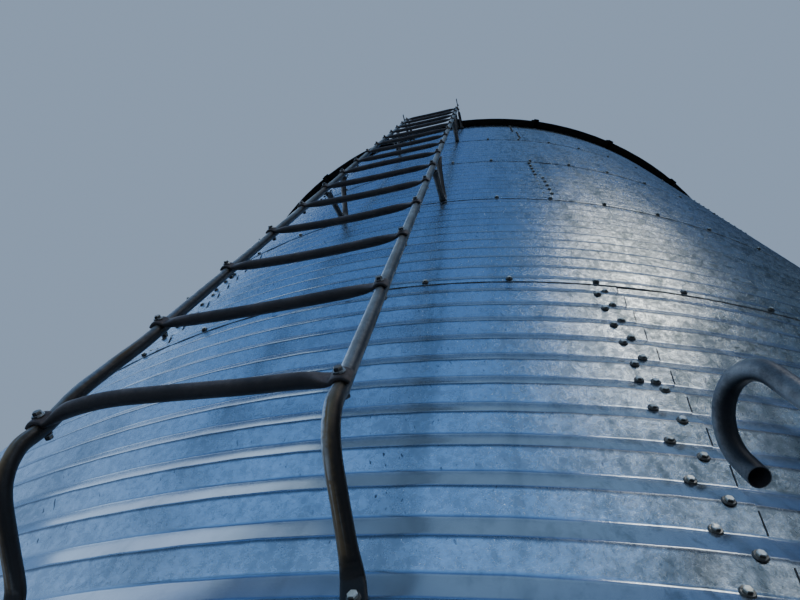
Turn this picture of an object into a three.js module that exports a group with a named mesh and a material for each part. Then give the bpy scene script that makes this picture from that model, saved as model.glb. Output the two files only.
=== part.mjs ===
// Grain silo: a flat bottomed, corrugated steel bin with a ribbed conical roof, a wall ladder
// of bent tube and a small vent pipe. Millimetres, +Z up. The origin is the centre of the base
// on the ground. Azimuths are in degrees from the front of the bin (-Y) towards its right (+X).

import * as THREE from 'three';

// Driving dimensions of the bin wall
const WALL_RADIUS = 2743;
const RING_HEIGHT = 1117.6;
const RING_COUNT = 7;
const WAVES_PER_RING = 11;
const WAVE_DEPTH = 12.7;
const WALL_BACKING = 4;
const FACET_ANGLE = 10;
const WALL_SEAM_AZIMUTH = 6.5;
const SEAM_SHIFT = 30;
const SEAT_GAP = 0.3;
const FLOOR_THICKNESS = 20;

// Driving dimensions of the roof
const EAVE_CORNER_RADIUS = 2827;
const ROOF_SLOPE = 30;
const ROOF_PANELS = 24;
const PANELS_PER_SECTOR = 4;
const ROOF_RIB_AZIMUTH = 11.4;
const ROOF_SHEET = 10;
const RIB_HEIGHT = 38;
const RIB_FOOT = 50;
const RIB_CREST = 30;
const PEAK_CORNER_RADIUS = 380;
const COLLAR_WALL = 15;
const COLLAR_RISE = 150;
const COLLAR_DROP = 60;
const CAP_OVERLAP = 45;
const CAP_CLEARANCE = 6;
const CAP_SHEET = 8;
const CAP_RISE = 95;
const CAP_KNOB_RADIUS = 40;

// Driving dimensions of the ladder, which is all of one tube with flattened, bolted ends
const TUBE_RADIUS = 12.7;
const FLAT_HALF_WIDTH = 17;
const FLAT_HALF_THICKNESS = 4;
const LADDER_AZIMUTH = -8.5;
const RAIL_OUT = 2923;
const RAIL_HALF_SPACING = 240.5;
const RAIL_TOP = 7700;
const FIRST_RUNG = 2425;
const RUNG_PITCH = 373;
const RUNG_COUNT = 15;
const FOOT_RING = 2;
const BRACE_RINGS = [4, 6];
const STRUT_FOOT = 7732;
const STRUT_HEIGHT = 7600;
const STRUT_REACH = { inner: 20, left: 62, right: 95 };

// Driving dimensions of the bent vent pipe, whose blind bore ends where its bend starts
const VENT_RADIUS = 14.2;
const VENT_CENTRE_AZIMUTH = 6.37;
const VENT_CENTRE_RADIUS = 2921;
const VENT_CENTRE_HEIGHT = 2372;
const VENT_PLANE_AZIMUTH = 8.7;
const VENT_BEND_RADIUS = 61;
const VENT_LEAN = 15.2;
const VENT_MOUTH_LENGTH = 28;
const VENT_LEANING_LENGTH = 250;
const VENT_BORE_RADIUS = 12.2;
const VENT_BORE_DEPTH = 26;
const BRACKET_CRESTS = [6, 17];
const BRACKET_WIDTH = 40;
const BRACKET_THICKNESS = 6;
const BRACKET_TAB = 90;

const steel = (name, color, roughness, metalness) =>
  new THREE.MeshStandardMaterial({ name, color, roughness, metalness });

const FINISH = {
  wall: steel('galvanised_wall', 0x8d979e, 0.42, 0.85),
  roof: steel('galvanised_roof', 0x7f888e, 0.5, 0.8),
  floor: steel('floor_steel', 0x6f7478, 0.6, 0.7),
  rail: steel('ladder_tube', 0x6a6c6d, 0.5, 0.75),
  rung: steel('rung_tube', 0x4a413c, 0.6, 0.6),
  vent: steel('vent_pipe', 0x66717b, 0.45, 0.8),
};

const radians = THREE.MathUtils.degToRad;
const wallTop = RING_COUNT * RING_HEIGHT;
const wavePitch = RING_HEIGHT / WAVES_PER_RING;
const crestRadius = WALL_RADIUS + WAVE_DEPTH / 2;
const valleyRadius = WALL_RADIUS - WAVE_DEPTH / 2;
const wallInnerRadius = valleyRadius - WALL_BACKING;
const halfFacet = Math.cos(radians(FACET_ANGLE / 2));

// A point at an azimuth, a distance from the axis and a height.
function around(azimuth, radius, height) {
  const angle = radians(azimuth);
  return new THREE.Vector3(radius * Math.sin(angle), -radius * Math.cos(angle), height);
}

const outward = (azimuth) => around(azimuth, 1, 0);
const sideways = (azimuth) => around(azimuth + 90, 1, 0);

// Triangles that fill a flat outline of any form, turned the way the outline itself runs.
function fillOutline(outline) {
  const run = THREE.ShapeUtils.area(outline);
  return THREE.ShapeUtils.triangulateShape(outline, []).map(([a, b, c]) => {
    const turn = THREE.ShapeUtils.area([outline[a], outline[b], outline[c]]);
    return turn * run > 0 ? [a, b, c] : [a, c, b];
  });
}

// Triangles that fill an outline without hollows, given by its points' numbers in order.
const fan = ([hub, ...rim]) => rim.slice(1).map((corner, i) => [hub, rim[i], corner]);

function signedVolume(points, triangles) {
  const corner = new THREE.Vector3();
  return triangles.reduce((sum, [a, b, c]) => {
    corner.crossVectors(points[b], points[c]);
    return sum + points[a].dot(corner) / 6;
  }, 0);
}

// One closed body from a row of equal loops, with both ends filled by the given triangles
// of the loop and its faces outwards.
function loft(loops, endTriangles) {
  const count = loops[0].length;
  const points = loops.flat();
  const triangles = [];
  for (let row = 0; row + 1 < loops.length; row += 1) {
    for (let i = 0; i < count; i += 1) {
      const next = (i + 1) % count;
      const [a, b] = [row * count + i, (row + 1) * count + i];
      const [c, d] = [(row + 1) * count + next, row * count + next];
      triangles.push([a, b, c], [a, c, d]);
    }
  }
  const last = (loops.length - 1) * count;
  for (const [a, b, c] of endTriangles) {
    triangles.push([a, b, c], [last + a, last + c, last + b]);
  }
  const inwards = signedVolume(points, triangles) < 0;
  const faces = inwards ? triangles.map(([a, b, c]) => [a, c, b]) : triangles;
  const geometry = new THREE.BufferGeometry().setFromPoints(points);
  geometry.setIndex(faces.flat());
  geometry.computeVertexNormals();
  return geometry;
}

const SECTION_SIDES = 8;
const sectionAngles = Array.from({ length: SECTION_SIDES }, (_, k) =>
  (2 * Math.PI * (k + 0.5)) / SECTION_SIDES);
const flatScale = 1 / Math.cos(Math.PI / SECTION_SIDES);
const sectionEnd = fan(sectionAngles.keys());

// An eight sided loop across a tube, with its flats at the given half widths.
function tubeLoop({ at, along, side, halfSide = TUBE_RADIUS, halfThick = halfSide }) {
  const normal = new THREE.Vector3().crossVectors(along, side).normalize();
  return sectionAngles.map((angle) => at.clone()
    .addScaledVector(side, halfSide * flatScale * Math.cos(angle))
    .addScaledVector(normal, halfThick * flatScale * Math.sin(angle)));
}

const tube = (stations) => loft(stations.map(tubeLoop), sectionEnd);

// Directions along a row of points: each one the mean of the runs before and after it.
function directions(points) {
  return points.map((_, i) => {
    const before = points[Math.max(i - 1, 0)];
    const after = points[Math.min(i + 1, points.length - 1)];
    return after.clone().sub(before).normalize();
  });
}

// Wall: straight slopes from crest to valley outside, with a crest at each end of a ring.
function ringSection(ring) {
  const base = (ring - 1) * RING_HEIGHT + (ring === 1 ? 0 : SEAT_GAP / 2);
  const top = ring * RING_HEIGHT - SEAT_GAP / 2;
  const slopes = Array.from({ length: 2 * WAVES_PER_RING - 1 }, (_, i) => [
    i % 2 ? crestRadius : valleyRadius,
    (ring - 1) * RING_HEIGHT + ((i + 1) * wavePitch) / 2,
  ]);
  return [
    [crestRadius, base], ...slopes, [crestRadius, top],
    [wallInnerRadius, top], [wallInnerRadius, base],
  ];
}

// Each ring is two half rings, and their joints turn by one sheet from ring to ring.
function wallHalf(ring, half) {
  const section = ringSection(ring);
  const start = WALL_SEAM_AZIMUTH + (ring % 2 ? 0 : SEAM_SHIFT) + half * 180;
  const cut = THREE.MathUtils.radToDeg(SEAT_GAP / 2 / WALL_RADIUS);
  const steps = 180 / FACET_ANGLE;
  const loops = Array.from({ length: steps + 1 }, (_, i) => {
    const trim = i === 0 ? cut : i === steps ? -cut : 0;
    const azimuth = start + i * FACET_ANGLE + trim;
    return section.map(([radius, height]) => around(azimuth, radius, height));
  });
  return loft(loops, fillOutline(section.map((corner) => new THREE.Vector2(...corner))));
}

// Floor: a thin plate just inside the first ring.
function floorPlate() {
  const radius = wallInnerRadius - SEAT_GAP / halfFacet;
  const corners = Array.from({ length: 360 / FACET_ANGLE }, (_, i) =>
    around(WALL_SEAM_AZIMUTH + i * FACET_ANGLE, radius, 0));
  const shape = new THREE.Shape(corners.map((corner) => new THREE.Vector2(corner.x, corner.y)));
  return new THREE.ExtrudeGeometry(shape, { depth: FLOOR_THICKNESS, bevelEnabled: false });
}

// Roof: flat panels between straight ribs, which rest on the top edge of the wall.
const panelAngle = 360 / ROOF_PANELS;
const panelCos = Math.cos(radians(panelAngle / 2));
const roofRise = Math.tan(radians(ROOF_SLOPE));
const eaveReach = EAVE_CORNER_RADIUS * panelCos;

// The farthest that the wall's corners reach towards the middle of any roof panel.
const wallReach = Math.max(...Array.from({ length: 360 / FACET_ANGLE }, (_, i) => {
  const azimuth = WALL_SEAM_AZIMUTH + i * FACET_ANGLE - ROOF_RIB_AZIMUTH;
  const fromRib = THREE.MathUtils.euclideanModulo(azimuth, panelAngle);
  return crestRadius * Math.cos(radians(fromRib - panelAngle / 2));
}));
const eaveHeight = wallTop + SEAT_GAP - (eaveReach - wallReach) * roofRise;
const undersideAt = (reach) => eaveHeight + (eaveReach - reach) * roofRise;

function roofLoop(sector, cornerRadius) {
  const reach = cornerRadius * panelCos;
  const under = undersideAt(reach);
  const top = under + ROOF_SHEET;
  const first = ROOF_RIB_AZIMUTH + (sector * PANELS_PER_SECTOR - 0.5) * panelAngle;
  const cut = THREE.MathUtils.radToDeg(SEAT_GAP / 2 / cornerRadius);
  const ends = [first + cut, first + PANELS_PER_SECTOR * panelAngle - cut];
  const ribs = Array.from({ length: PANELS_PER_SECTOR }, (_, i) => first + (i + 0.5) * panelAngle);
  const upper = [around(ends[0], reach, top)];
  for (const azimuth of ribs) {
    const corner = around(azimuth, cornerRadius, top);
    const crest = corner.clone().setZ(top + RIB_HEIGHT);
    upper.push(
      corner.clone().addScaledVector(sideways(azimuth - panelAngle / 2), -RIB_FOOT / 2),
      crest.clone().addScaledVector(sideways(azimuth), -RIB_CREST / 2),
      crest.clone().addScaledVector(sideways(azimuth), RIB_CREST / 2),
      corner.clone().addScaledVector(sideways(azimuth + panelAngle / 2), RIB_FOOT / 2),
    );
  }
  upper.push(around(ends[1], reach, top));
  const lower = [
    around(ends[1], reach, under),
    ...ribs.map((azimuth) => around(azimuth, cornerRadius, under)).reverse(),
    around(ends[0], reach, under),
  ];
  return [...upper, ...lower];
}

// The end of a roof sector: a flat patch for each panel and one for each rib.
function roofEnd() {
  const ribs = Array.from({ length: PANELS_PER_SECTOR }, (_, i) => i);
  const below = (i) => 5 * PANELS_PER_SECTOR + 2 - i;
  const panels = [-1, ...ribs].map((i) => [4 * i + 4, 4 * i + 5, below(i + 1), below(i)]);
  const ribEnds = ribs.map((i) => [below(i), 4 * i + 1, 4 * i + 2, 4 * i + 3, 4 * i + 4]);
  return [...panels, ...ribEnds].flatMap(fan);
}

function roofSector(sector) {
  const radii = [EAVE_CORNER_RADIUS, PEAK_CORNER_RADIUS];
  return loft(radii.map((radius) => roofLoop(sector, radius)), roofEnd());
}

// Shapes turned about the bin's axis, with their corners in line with the roof's ribs.
function turned(profile) {
  const points = profile.map(([radius, height]) => new THREE.Vector2(radius, height));
  const geometry = new THREE.LatheGeometry(points, ROOF_PANELS);
  geometry.rotateX(Math.PI / 2);
  geometry.rotateZ(radians(ROOF_RIB_AZIMUTH));
  return geometry;
}

const peakUnder = undersideAt(PEAK_CORNER_RADIUS * panelCos);
const collarTop = peakUnder + ROOF_SHEET + COLLAR_RISE;
const collarRadius = PEAK_CORNER_RADIUS - SEAT_GAP / panelCos;

function peakCollar() {
  const inner = collarRadius - COLLAR_WALL;
  const base = peakUnder - COLLAR_DROP;
  return turned([
    [collarRadius, base], [collarRadius, collarTop],
    [inner, collarTop], [inner, base], [collarRadius, base],
  ]);
}

function fillCap() {
  const inner = collarRadius + CAP_CLEARANCE;
  const outer = inner + CAP_SHEET;
  const seat = collarTop + SEAT_GAP;
  const skirt = collarTop - CAP_OVERLAP;
  const rim = seat + CAP_SHEET;
  return turned([
    [0, seat], [inner, seat], [inner, skirt], [outer, skirt], [outer, rim],
    [CAP_KNOB_RADIUS, rim + CAP_RISE], [0, rim + CAP_RISE],
  ]);
}

// Ladder: points are given out from the axis, sideways along the ladder, and by height.
const ladderOut = outward(LADDER_AZIMUTH);
const ladderSide = sideways(LADDER_AZIMUTH);
const vertical = new THREE.Vector3(0, 0, 1);

function onLadder(out, side, height) {
  return new THREE.Vector3()
    .addScaledVector(ladderOut, out)
    .addScaledVector(ladderSide, side)
    .addScaledVector(vertical, height);
}

const rungHeight = (number) => FIRST_RUNG + (number - 1) * RUNG_PITCH;
const FLAT = { halfSide: FLAT_HALF_WIDTH, halfThick: FLAT_HALF_THICKNESS };
const ON_EDGE = { halfSide: FLAT_HALF_THICKNESS, halfThick: FLAT_HALF_WIDTH };

// A tube in an upright plane square to the ladder, from points that are round, flat or on edge.
function uprightTube(side, route) {
  const points = route.map(([out, height]) => onLadder(out, side, height));
  const runs = directions(points);
  return tube(route.map(([, , form], i) => ({
    at: points[i], along: runs[i], side: ladderSide, ...form,
  })));
}

// The flat facet between the two rows of bolts that hold the ladder, and a foot lying on it.
const ladderFacet = crestRadius * halfFacet;
const footOut = ladderFacet + SEAT_GAP + FLAT_HALF_THICKNESS;
const railInside = RAIL_OUT - TUBE_RADIUS - SEAT_GAP - FLAT_HALF_THICKNESS;

function ladderRail(hand) {
  const foot = FOOT_RING * RING_HEIGHT;
  return uprightTube(hand * RAIL_HALF_SPACING, [
    [footOut, foot - 38, FLAT],
    [footOut, foot + 24, FLAT],
    [footOut + 12, foot + 46, FLAT],
    [footOut + 60, foot + 61],
    [RAIL_OUT - 55, foot + 80],
    [RAIL_OUT - 22, foot + 98],
    [RAIL_OUT - 4, foot + 121],
    [RAIL_OUT + 4, foot + 145],
    [RAIL_OUT, foot + 172],
    [RAIL_OUT, RAIL_TOP - 34],
    [RAIL_OUT, RAIL_TOP - 14, FLAT],
    [RAIL_OUT, RAIL_TOP, FLAT],
  ]);
}

// A rung's ends are flattened towards its outer side, so its round length lies nearer the wall.
function ladderRung(number) {
  const flatOut = RAIL_OUT + TUBE_RADIUS + SEAT_GAP + FLAT_HALF_THICKNESS;
  const roundOut = flatOut + FLAT_HALF_THICKNESS - TUBE_RADIUS;
  const end = RAIL_HALF_SPACING + FLAT_HALF_WIDTH;
  const flatStart = RAIL_HALF_SPACING - FLAT_HALF_WIDTH;
  const roundStart = flatStart - 35;
  return tube([-end, -flatStart, -roundStart, roundStart, flatStart, end].map((side) => {
    const flat = Math.abs(side) > roundStart;
    const at = onLadder(flat ? flatOut : roundOut, side, rungHeight(number));
    return { at, along: ladderSide, side: vertical, ...(flat ? FLAT : {}) };
  }));
}

// A brace is one tube bent to a V: its middle is bolted to a wall seam, its ends to the rail.
function wallBrace(hand, ring) {
  const seam = ring * RING_HEIGHT;
  const above = Math.ceil((seam - FIRST_RUNG) / RUNG_PITCH) + 1;
  const upper = rungHeight(above);
  const lower = rungHeight(above - 1);
  return uprightTube(hand * RAIL_HALF_SPACING, [
    [railInside, lower - FLAT_HALF_WIDTH, FLAT],
    [railInside, lower + FLAT_HALF_WIDTH, FLAT],
    [railInside - 30, lower + 48],
    [footOut + 30, seam - 52],
    [footOut, seam - 26, FLAT],
    [footOut, seam + 26, FLAT],
    [footOut + 30, seam + 58],
    [railInside - 30, upper - 52],
    [railInside, upper - FLAT_HALF_WIDTH, FLAT],
    [railInside, upper + FLAT_HALF_WIDTH, FLAT],
  ]);
}

// Two struts hold the head of each rail to the wall under the eave, one on each side of the
// rail. Their ends at the rail are flattened on edge, and the outer one reaches past the rail.
function topStrut(hand, place) {
  const offset = TUBE_RADIUS + 2 * SEAT_GAP + FLAT_HALF_THICKNESS;
  const side = hand * (RAIL_HALF_SPACING + (place === 'inner' ? -offset : offset));
  return uprightTube(side, [
    [footOut, STRUT_FOOT + 20, FLAT],
    [footOut, STRUT_FOOT - 20, FLAT],
    [footOut + 16, STRUT_FOOT - 44],
    [footOut + 48, STRUT_FOOT - 64],
    [RAIL_OUT - 36, STRUT_HEIGHT + 18],
    [RAIL_OUT - 17, STRUT_HEIGHT + 9, ON_EDGE],
    [RAIL_OUT + STRUT_REACH[place], STRUT_HEIGHT - 10, ON_EDGE],
  ]);
}

// Vent pipe: from its open mouth up over a round bend, then down a leaning arm to the ground.
const ventOut = outward(VENT_PLANE_AZIMUTH);
const ventSide = sideways(VENT_PLANE_AZIMUTH);
const ventUp = vertical.clone().applyAxisAngle(ventOut, radians(VENT_LEAN));

// The wall facet behind the pipe: its brackets and the pipe's upright arm are square to it.
const bracketOut = outward(WALL_SEAM_AZIMUTH + FACET_ANGLE / 2);
const bracketSide = sideways(WALL_SEAM_AZIMUTH + FACET_ANGLE / 2);

function ventRoute() {
  const centre = around(VENT_CENTRE_AZIMUTH, VENT_CENTRE_RADIUS, VENT_CENTRE_HEIGHT);
  const offset = (out, up) => centre.clone().addScaledVector(ventOut, out).addScaledVector(ventUp, up);
  const bend = Array.from({ length: 9 }, (_, i) => {
    const angle = (Math.PI * i) / 8;
    return offset(-VENT_BEND_RADIUS * Math.cos(angle), VENT_BEND_RADIUS * Math.sin(angle));
  });
  const elbow = offset(VENT_BEND_RADIUS, -VENT_LEANING_LENGTH);
  const below = elbow.clone().addScaledVector(vertical, -60).addScaledVector(ventSide, 6);
  return [
    offset(-VENT_BEND_RADIUS, -VENT_MOUTH_LENGTH), ...bend,
    offset(VENT_BEND_RADIUS, -VENT_LEANING_LENGTH + 60), elbow, below, below.clone().setZ(0),
  ];
}

// The pipe's mouth is a short blind bore, so the body starts at the bottom of that bore.
function ventPipe() {
  const points = ventRoute();
  const runs = directions(points);
  const upright = points.length - 2;
  const bracketed = { along: vertical.clone().negate(), side: bracketSide };
  const stations = points.map((at, i) => ({ at, halfSide: VENT_RADIUS, ...(i < upright
    ? { along: runs[i], side: ventSide.clone().projectOnPlane(runs[i]).normalize() }
    : bracketed) }));
  const [mouth] = stations;
  const deep = mouth.at.clone().addScaledVector(mouth.along, VENT_BORE_DEPTH);
  const bore = { halfSide: VENT_BORE_RADIUS };
  return tube([{ ...mouth, ...bore, at: deep }, { ...mouth, ...bore }, ...stations]);
}

// A bracket of flat bar: a tab on a crest of the wall and a web that reaches out to the pipe.
function ventBracket(crest) {
  const pipe = ventRoute().pop();
  const wallFace = ladderFacet + SEAT_GAP;
  const webEnd = pipe.dot(bracketOut) - VENT_RADIUS - SEAT_GAP;
  const middle = pipe.dot(bracketSide);
  const half = BRACKET_THICKNESS / 2;
  const shape = new THREE.Shape([
    [wallFace, -BRACKET_TAB / 2], [wallFace + BRACKET_THICKNESS, -BRACKET_TAB / 2],
    [wallFace + BRACKET_THICKNESS, -half], [webEnd, -half], [webEnd, half],
    [wallFace + BRACKET_THICKNESS, half], [wallFace + BRACKET_THICKNESS, BRACKET_TAB / 2],
    [wallFace, BRACKET_TAB / 2],
  ].map(([out, side]) => new THREE.Vector2(out, middle + side)));
  const geometry = new THREE.ExtrudeGeometry(shape, { depth: BRACKET_WIDTH, bevelEnabled: false });
  const placed = new THREE.Matrix4().makeBasis(bracketOut, bracketSide, vertical);
  return geometry.applyMatrix4(placed).translate(0, 0, crest * wavePitch - BRACKET_WIDTH / 2);
}

// Group of all pieces
const silo = new THREE.Group();

function add(name, geometry, material) {
  const mesh = new THREE.Mesh(geometry, material);
  mesh.name = name;
  silo.add(mesh);
}

for (let ring = 1; ring <= RING_COUNT; ring += 1) {
  add(`wall_ring_${ring}_right`, wallHalf(ring, 0), FINISH.wall);
  add(`wall_ring_${ring}_left`, wallHalf(ring, 1), FINISH.wall);
}
add('floor_plate', floorPlate(), FINISH.floor);
for (let sector = 0; sector < ROOF_PANELS / PANELS_PER_SECTOR; sector += 1) {
  add(`roof_sector_${sector + 1}`, roofSector(sector), FINISH.roof);
}
add('peak_collar', peakCollar(), FINISH.roof);
add('fill_cap', fillCap(), FINISH.roof);
for (const [name, hand] of [['left', -1], ['right', 1]]) {
  add(`ladder_rail_${name}`, ladderRail(hand), FINISH.rail);
  add(`lower_brace_${name}`, wallBrace(hand, BRACE_RINGS[0]), FINISH.rail);
  add(`upper_brace_${name}`, wallBrace(hand, BRACE_RINGS[1]), FINISH.rail);
  add(`top_strut_inner_${name}`, topStrut(hand, 'inner'), FINISH.rail);
  add(`top_strut_outer_${name}`, topStrut(hand, name), FINISH.rail);
}
for (let number = 1; number <= RUNG_COUNT; number += 1) {
  add(`ladder_rung_${String(number).padStart(2, '0')}`, ladderRung(number), FINISH.rung);
}
add('vent_pipe', ventPipe(), FINISH.vent);
BRACKET_CRESTS.forEach((crest, i) => {
  add(`vent_bracket_${i + 1}`, ventBracket(crest), FINISH.vent);
});

export default silo;
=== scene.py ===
# %% [markdown]
# # A corrugated grain silo seen from its foot
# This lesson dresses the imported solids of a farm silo. The frame says where everything is.
# The wall sheets, bolts, ladder and roof are then built over it, and each finish is a
# material made of nodes. Everything is in metres, with +Z up and -Y towards the viewer.

# %% Load the frame
import math

import bpy
from mathutils import Matrix, Vector


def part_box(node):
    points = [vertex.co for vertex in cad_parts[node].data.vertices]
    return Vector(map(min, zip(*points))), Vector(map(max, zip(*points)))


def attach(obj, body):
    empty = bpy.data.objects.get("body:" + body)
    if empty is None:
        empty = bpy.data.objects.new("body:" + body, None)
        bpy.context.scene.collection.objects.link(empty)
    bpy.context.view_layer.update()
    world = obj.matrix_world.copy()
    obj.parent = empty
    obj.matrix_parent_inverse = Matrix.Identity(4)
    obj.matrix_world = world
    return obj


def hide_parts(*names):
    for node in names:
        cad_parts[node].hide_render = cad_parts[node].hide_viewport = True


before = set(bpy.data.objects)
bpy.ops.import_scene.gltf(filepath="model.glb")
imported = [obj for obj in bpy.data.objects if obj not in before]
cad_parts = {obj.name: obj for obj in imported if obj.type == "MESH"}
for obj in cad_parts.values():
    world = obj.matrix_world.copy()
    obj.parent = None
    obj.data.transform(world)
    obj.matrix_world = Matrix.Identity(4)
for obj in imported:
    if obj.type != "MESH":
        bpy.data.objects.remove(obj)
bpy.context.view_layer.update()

# %% [markdown]
# ## Camera
# The photograph looks steeply up the wall with a wide lens, and it is tilted. Three turns
# describe that: yaw about the upright, pitch above the level and roll about the line of
# sight. Building the matrix from the forward and right directions keeps each turn readable.

# %% The camera at the photograph's angle
CAMERA_PLACE = Vector((0.0, -3.3271, 1.7118))
CAMERA_YAW, CAMERA_PITCH, CAMERA_ROLL = (math.radians(a) for a in (-20.703, 67.402, -17.755))
CAMERA_LENS_MM = 27.0
CAMERA_SENSOR_MM = 36.0


def photo_camera():
    forward = Vector((
        math.sin(CAMERA_YAW) * math.cos(CAMERA_PITCH),
        math.cos(CAMERA_YAW) * math.cos(CAMERA_PITCH),
        math.sin(CAMERA_PITCH),
    ))
    level = Vector((math.cos(CAMERA_YAW), -math.sin(CAMERA_YAW), 0))
    below = forward.cross(level)
    right = math.cos(CAMERA_ROLL) * level + math.sin(CAMERA_ROLL) * below
    down = math.cos(CAMERA_ROLL) * below - math.sin(CAMERA_ROLL) * level
    data = bpy.data.cameras.new("photo_camera")
    data.lens = CAMERA_LENS_MM
    data.sensor_width = CAMERA_SENSOR_MM
    data.clip_start = 0.02
    data.clip_end = 400
    camera = bpy.data.objects.new("photo_camera", data)
    turn = Matrix((right, -down, -forward)).transposed().to_4x4()
    camera.matrix_world = Matrix.Translation(CAMERA_PLACE) @ turn
    bpy.context.scene.collection.objects.link(camera)
    bpy.context.scene.camera = camera


photo_camera()

# %% [markdown]
# ## Sizes
# The silo is made of rules: rings of one height, waves of one pitch, bolts at one angle.
# These few numbers repeat the source's, so each dressed piece lies where its solid does.

# %% Sizes of the silo
WALL_RADIUS = 2.743
RING_HEIGHT = 1.1176
RING_COUNT = 7
WAVES_PER_RING = 11
WAVE_PITCH = RING_HEIGHT / WAVES_PER_RING
WAVE_DEPTH = 0.0127
SHEET = 0.0014
SHEETS_PER_RING = 6
SEAM_AZIMUTH = 6.66
SEAM_SHIFT = 30.0
LAP_HALF_ANGLE = math.radians(1.05)
LAP_GAP = 0.0016
LAP_BELOW = 0.018
LAP_ABOVE = 0.030
CREST_RADIUS = WALL_RADIUS + WAVE_DEPTH / 2

LADDER_AZIMUTH = -8.5
RAIL_OUT = 2.923
RAIL_HALF_SPACING = 0.2405
TUBE_RADIUS = 0.0127
FLAT_HALF_WIDTH = 0.017
FLAT_HALF_THICKNESS = 0.004
FOOT_HEIGHT = 2 * RING_HEIGHT
FIRST_RUNG = 2.425
RUNG_PITCH = 0.373
RUNG_COUNT = 15

ROOF_PANELS = 24
ROOF_RIB_AZIMUTH = 11.4
ROOF_SLOPE = math.radians(30)
EAVE_CORNER_RADIUS = 2.827
EAVE_PAN_RADIUS = 2.813
PEAK_CORNER_RADIUS = 0.380

UP = Vector((0, 0, 1))


def around(azimuth, radius, height=0.0):
    """A point at an azimuth from the front, a distance from the axis and a height."""
    angle = math.radians(azimuth)
    return Vector((radius * math.sin(angle), -radius * math.cos(angle), height))


def outward(azimuth):
    return around(azimuth, 1)


def sideways(azimuth):
    return around(azimuth + 90, 1)


VENT_CENTRE = around(6.37, 2.921, 2.372)

# %% [markdown]
# ## Node shorthand
# A node tree is a list of nodes and the links between them. Here one output of a node is
# wrapped as a value, which can be added and multiplied like a plain number, and each sum
# makes its own node. The shader groups and the Geometry Nodes trees below all use this.

# %% Helpers that build node trees
class Value:
    """One output of a node, to be reckoned with like a number. It stands for the node's
    first output, and its node's other ones are had by their names."""

    def __init__(self, node, key=0):
        self.node = node
        self.tree = node.id_data
        self.socket = node.outputs[key] if len(node.outputs) else None

    def __getitem__(self, key):
        return Value(self.node, key)

    def __add__(self, other):
        return calc("ADD", self, other)

    def __sub__(self, other):
        return calc("SUBTRACT", self, other)

    def __rsub__(self, other):
        return calc("SUBTRACT", other, self)

    def __mul__(self, other):
        return calc("MULTIPLY", self, other)

    def __truediv__(self, other):
        return calc("DIVIDE", self, other)


def fill(socket, value):
    if isinstance(value, Value):
        value.tree.links.new(value.socket, socket)
    elif socket.type == "RGBA":
        socket.default_value = (*value, 1.0)
    else:
        socket.default_value = value


def add(tree, kind, inputs=None, **settings):
    """A new node with its options set and its inputs filled."""
    node = tree.nodes.new(kind)
    for key, value in settings.items():
        setattr(node, key, value)
    for key, value in (inputs or {}).items():
        fill(node.inputs[key], value)
    return Value(node)


def calc(operation, *values, clamp=False):
    tree = next(value.tree for value in values if isinstance(value, Value))
    return add(tree, "ShaderNodeMath", dict(enumerate(values)),
               operation=operation, use_clamp=clamp)


def vector_calc(operation, *values):
    node = add(values[0].tree, "ShaderNodeVectorMath", dict(enumerate(values)),
               operation=operation)
    return node["Value" if operation in ("LENGTH", "DOT_PRODUCT") else "Vector"]


def axes(vector):
    """The three numbers of a vector, by name."""
    return add(vector.tree, "ShaderNodeSeparateXYZ", {"Vector": vector})


def ramp(value, low, high, to_low=0.0, to_high=1.0):
    """A smooth step from one value to another."""
    return add(value.tree, "ShaderNodeMapRange", {
        "Value": value, "From Min": low, "From Max": high,
        "To Min": to_low, "To Max": to_high,
    }, interpolation_type="SMOOTHSTEP")


def noise(vector, scale, detail=2.0, roughness=0.5):
    return add(vector.tree, "ShaderNodeTexNoise", {
        "Vector": vector, "Scale": scale, "Detail": detail, "Roughness": roughness,
    })


def stretched(vector, scale=(1, 1, 1), turn=(0, 0, 0)):
    return add(vector.tree, "ShaderNodeMapping", {
        "Vector": vector, "Scale": scale, "Rotation": turn,
    })


def mixed(amount, low, high):
    """A colour between two others, each a colour or another node's output."""
    return add(amount.tree, "ShaderNodeMix", {"Factor": amount, 6: low, 7: high},
               data_type="RGBA")[2]


SHADER, GEOMETRY = "ShaderNodeTree", "GeometryNodeTree"
SOCKET_TYPES = {float: "Float", int: "Int", tuple: "Vector"}


def node_group(kind, **inputs):
    """Turns a function into a node group of its name. Each input is given by its default,
    or by its type's name. The function takes the inputs and returns the outputs by name."""
    def made(build):
        tree = bpy.data.node_groups.new(build.__name__, kind)
        for label, default in inputs.items():
            socket_type = SOCKET_TYPES.get(type(default), default)
            socket = tree.interface.new_socket(
                name=label.replace("_", " "), in_out="INPUT",
                socket_type=f"NodeSocket{socket_type}")
            if type(default) in SOCKET_TYPES:
                socket.default_value = default
        outputs = build(Value(tree.nodes.new("NodeGroupInput")))
        output_type = "NodeSocketFloat" if kind == SHADER else "NodeSocketGeometry"
        for label in outputs:
            tree.interface.new_socket(name=label, in_out="OUTPUT", socket_type=output_type)
        end = tree.nodes.new("NodeGroupOutput")
        for label, value in outputs.items():
            fill(end.inputs[label], value)
        return tree
    return made


# %% [markdown]
# ## Effects that several finishes share
# Galvanised sheet shows zinc crystals called spangle, fine scratches and upright streaks
# that rain leaves. Each is a small shader group with named inputs, made once, so a
# material places it and sets only how strong and how large it is there.

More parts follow.
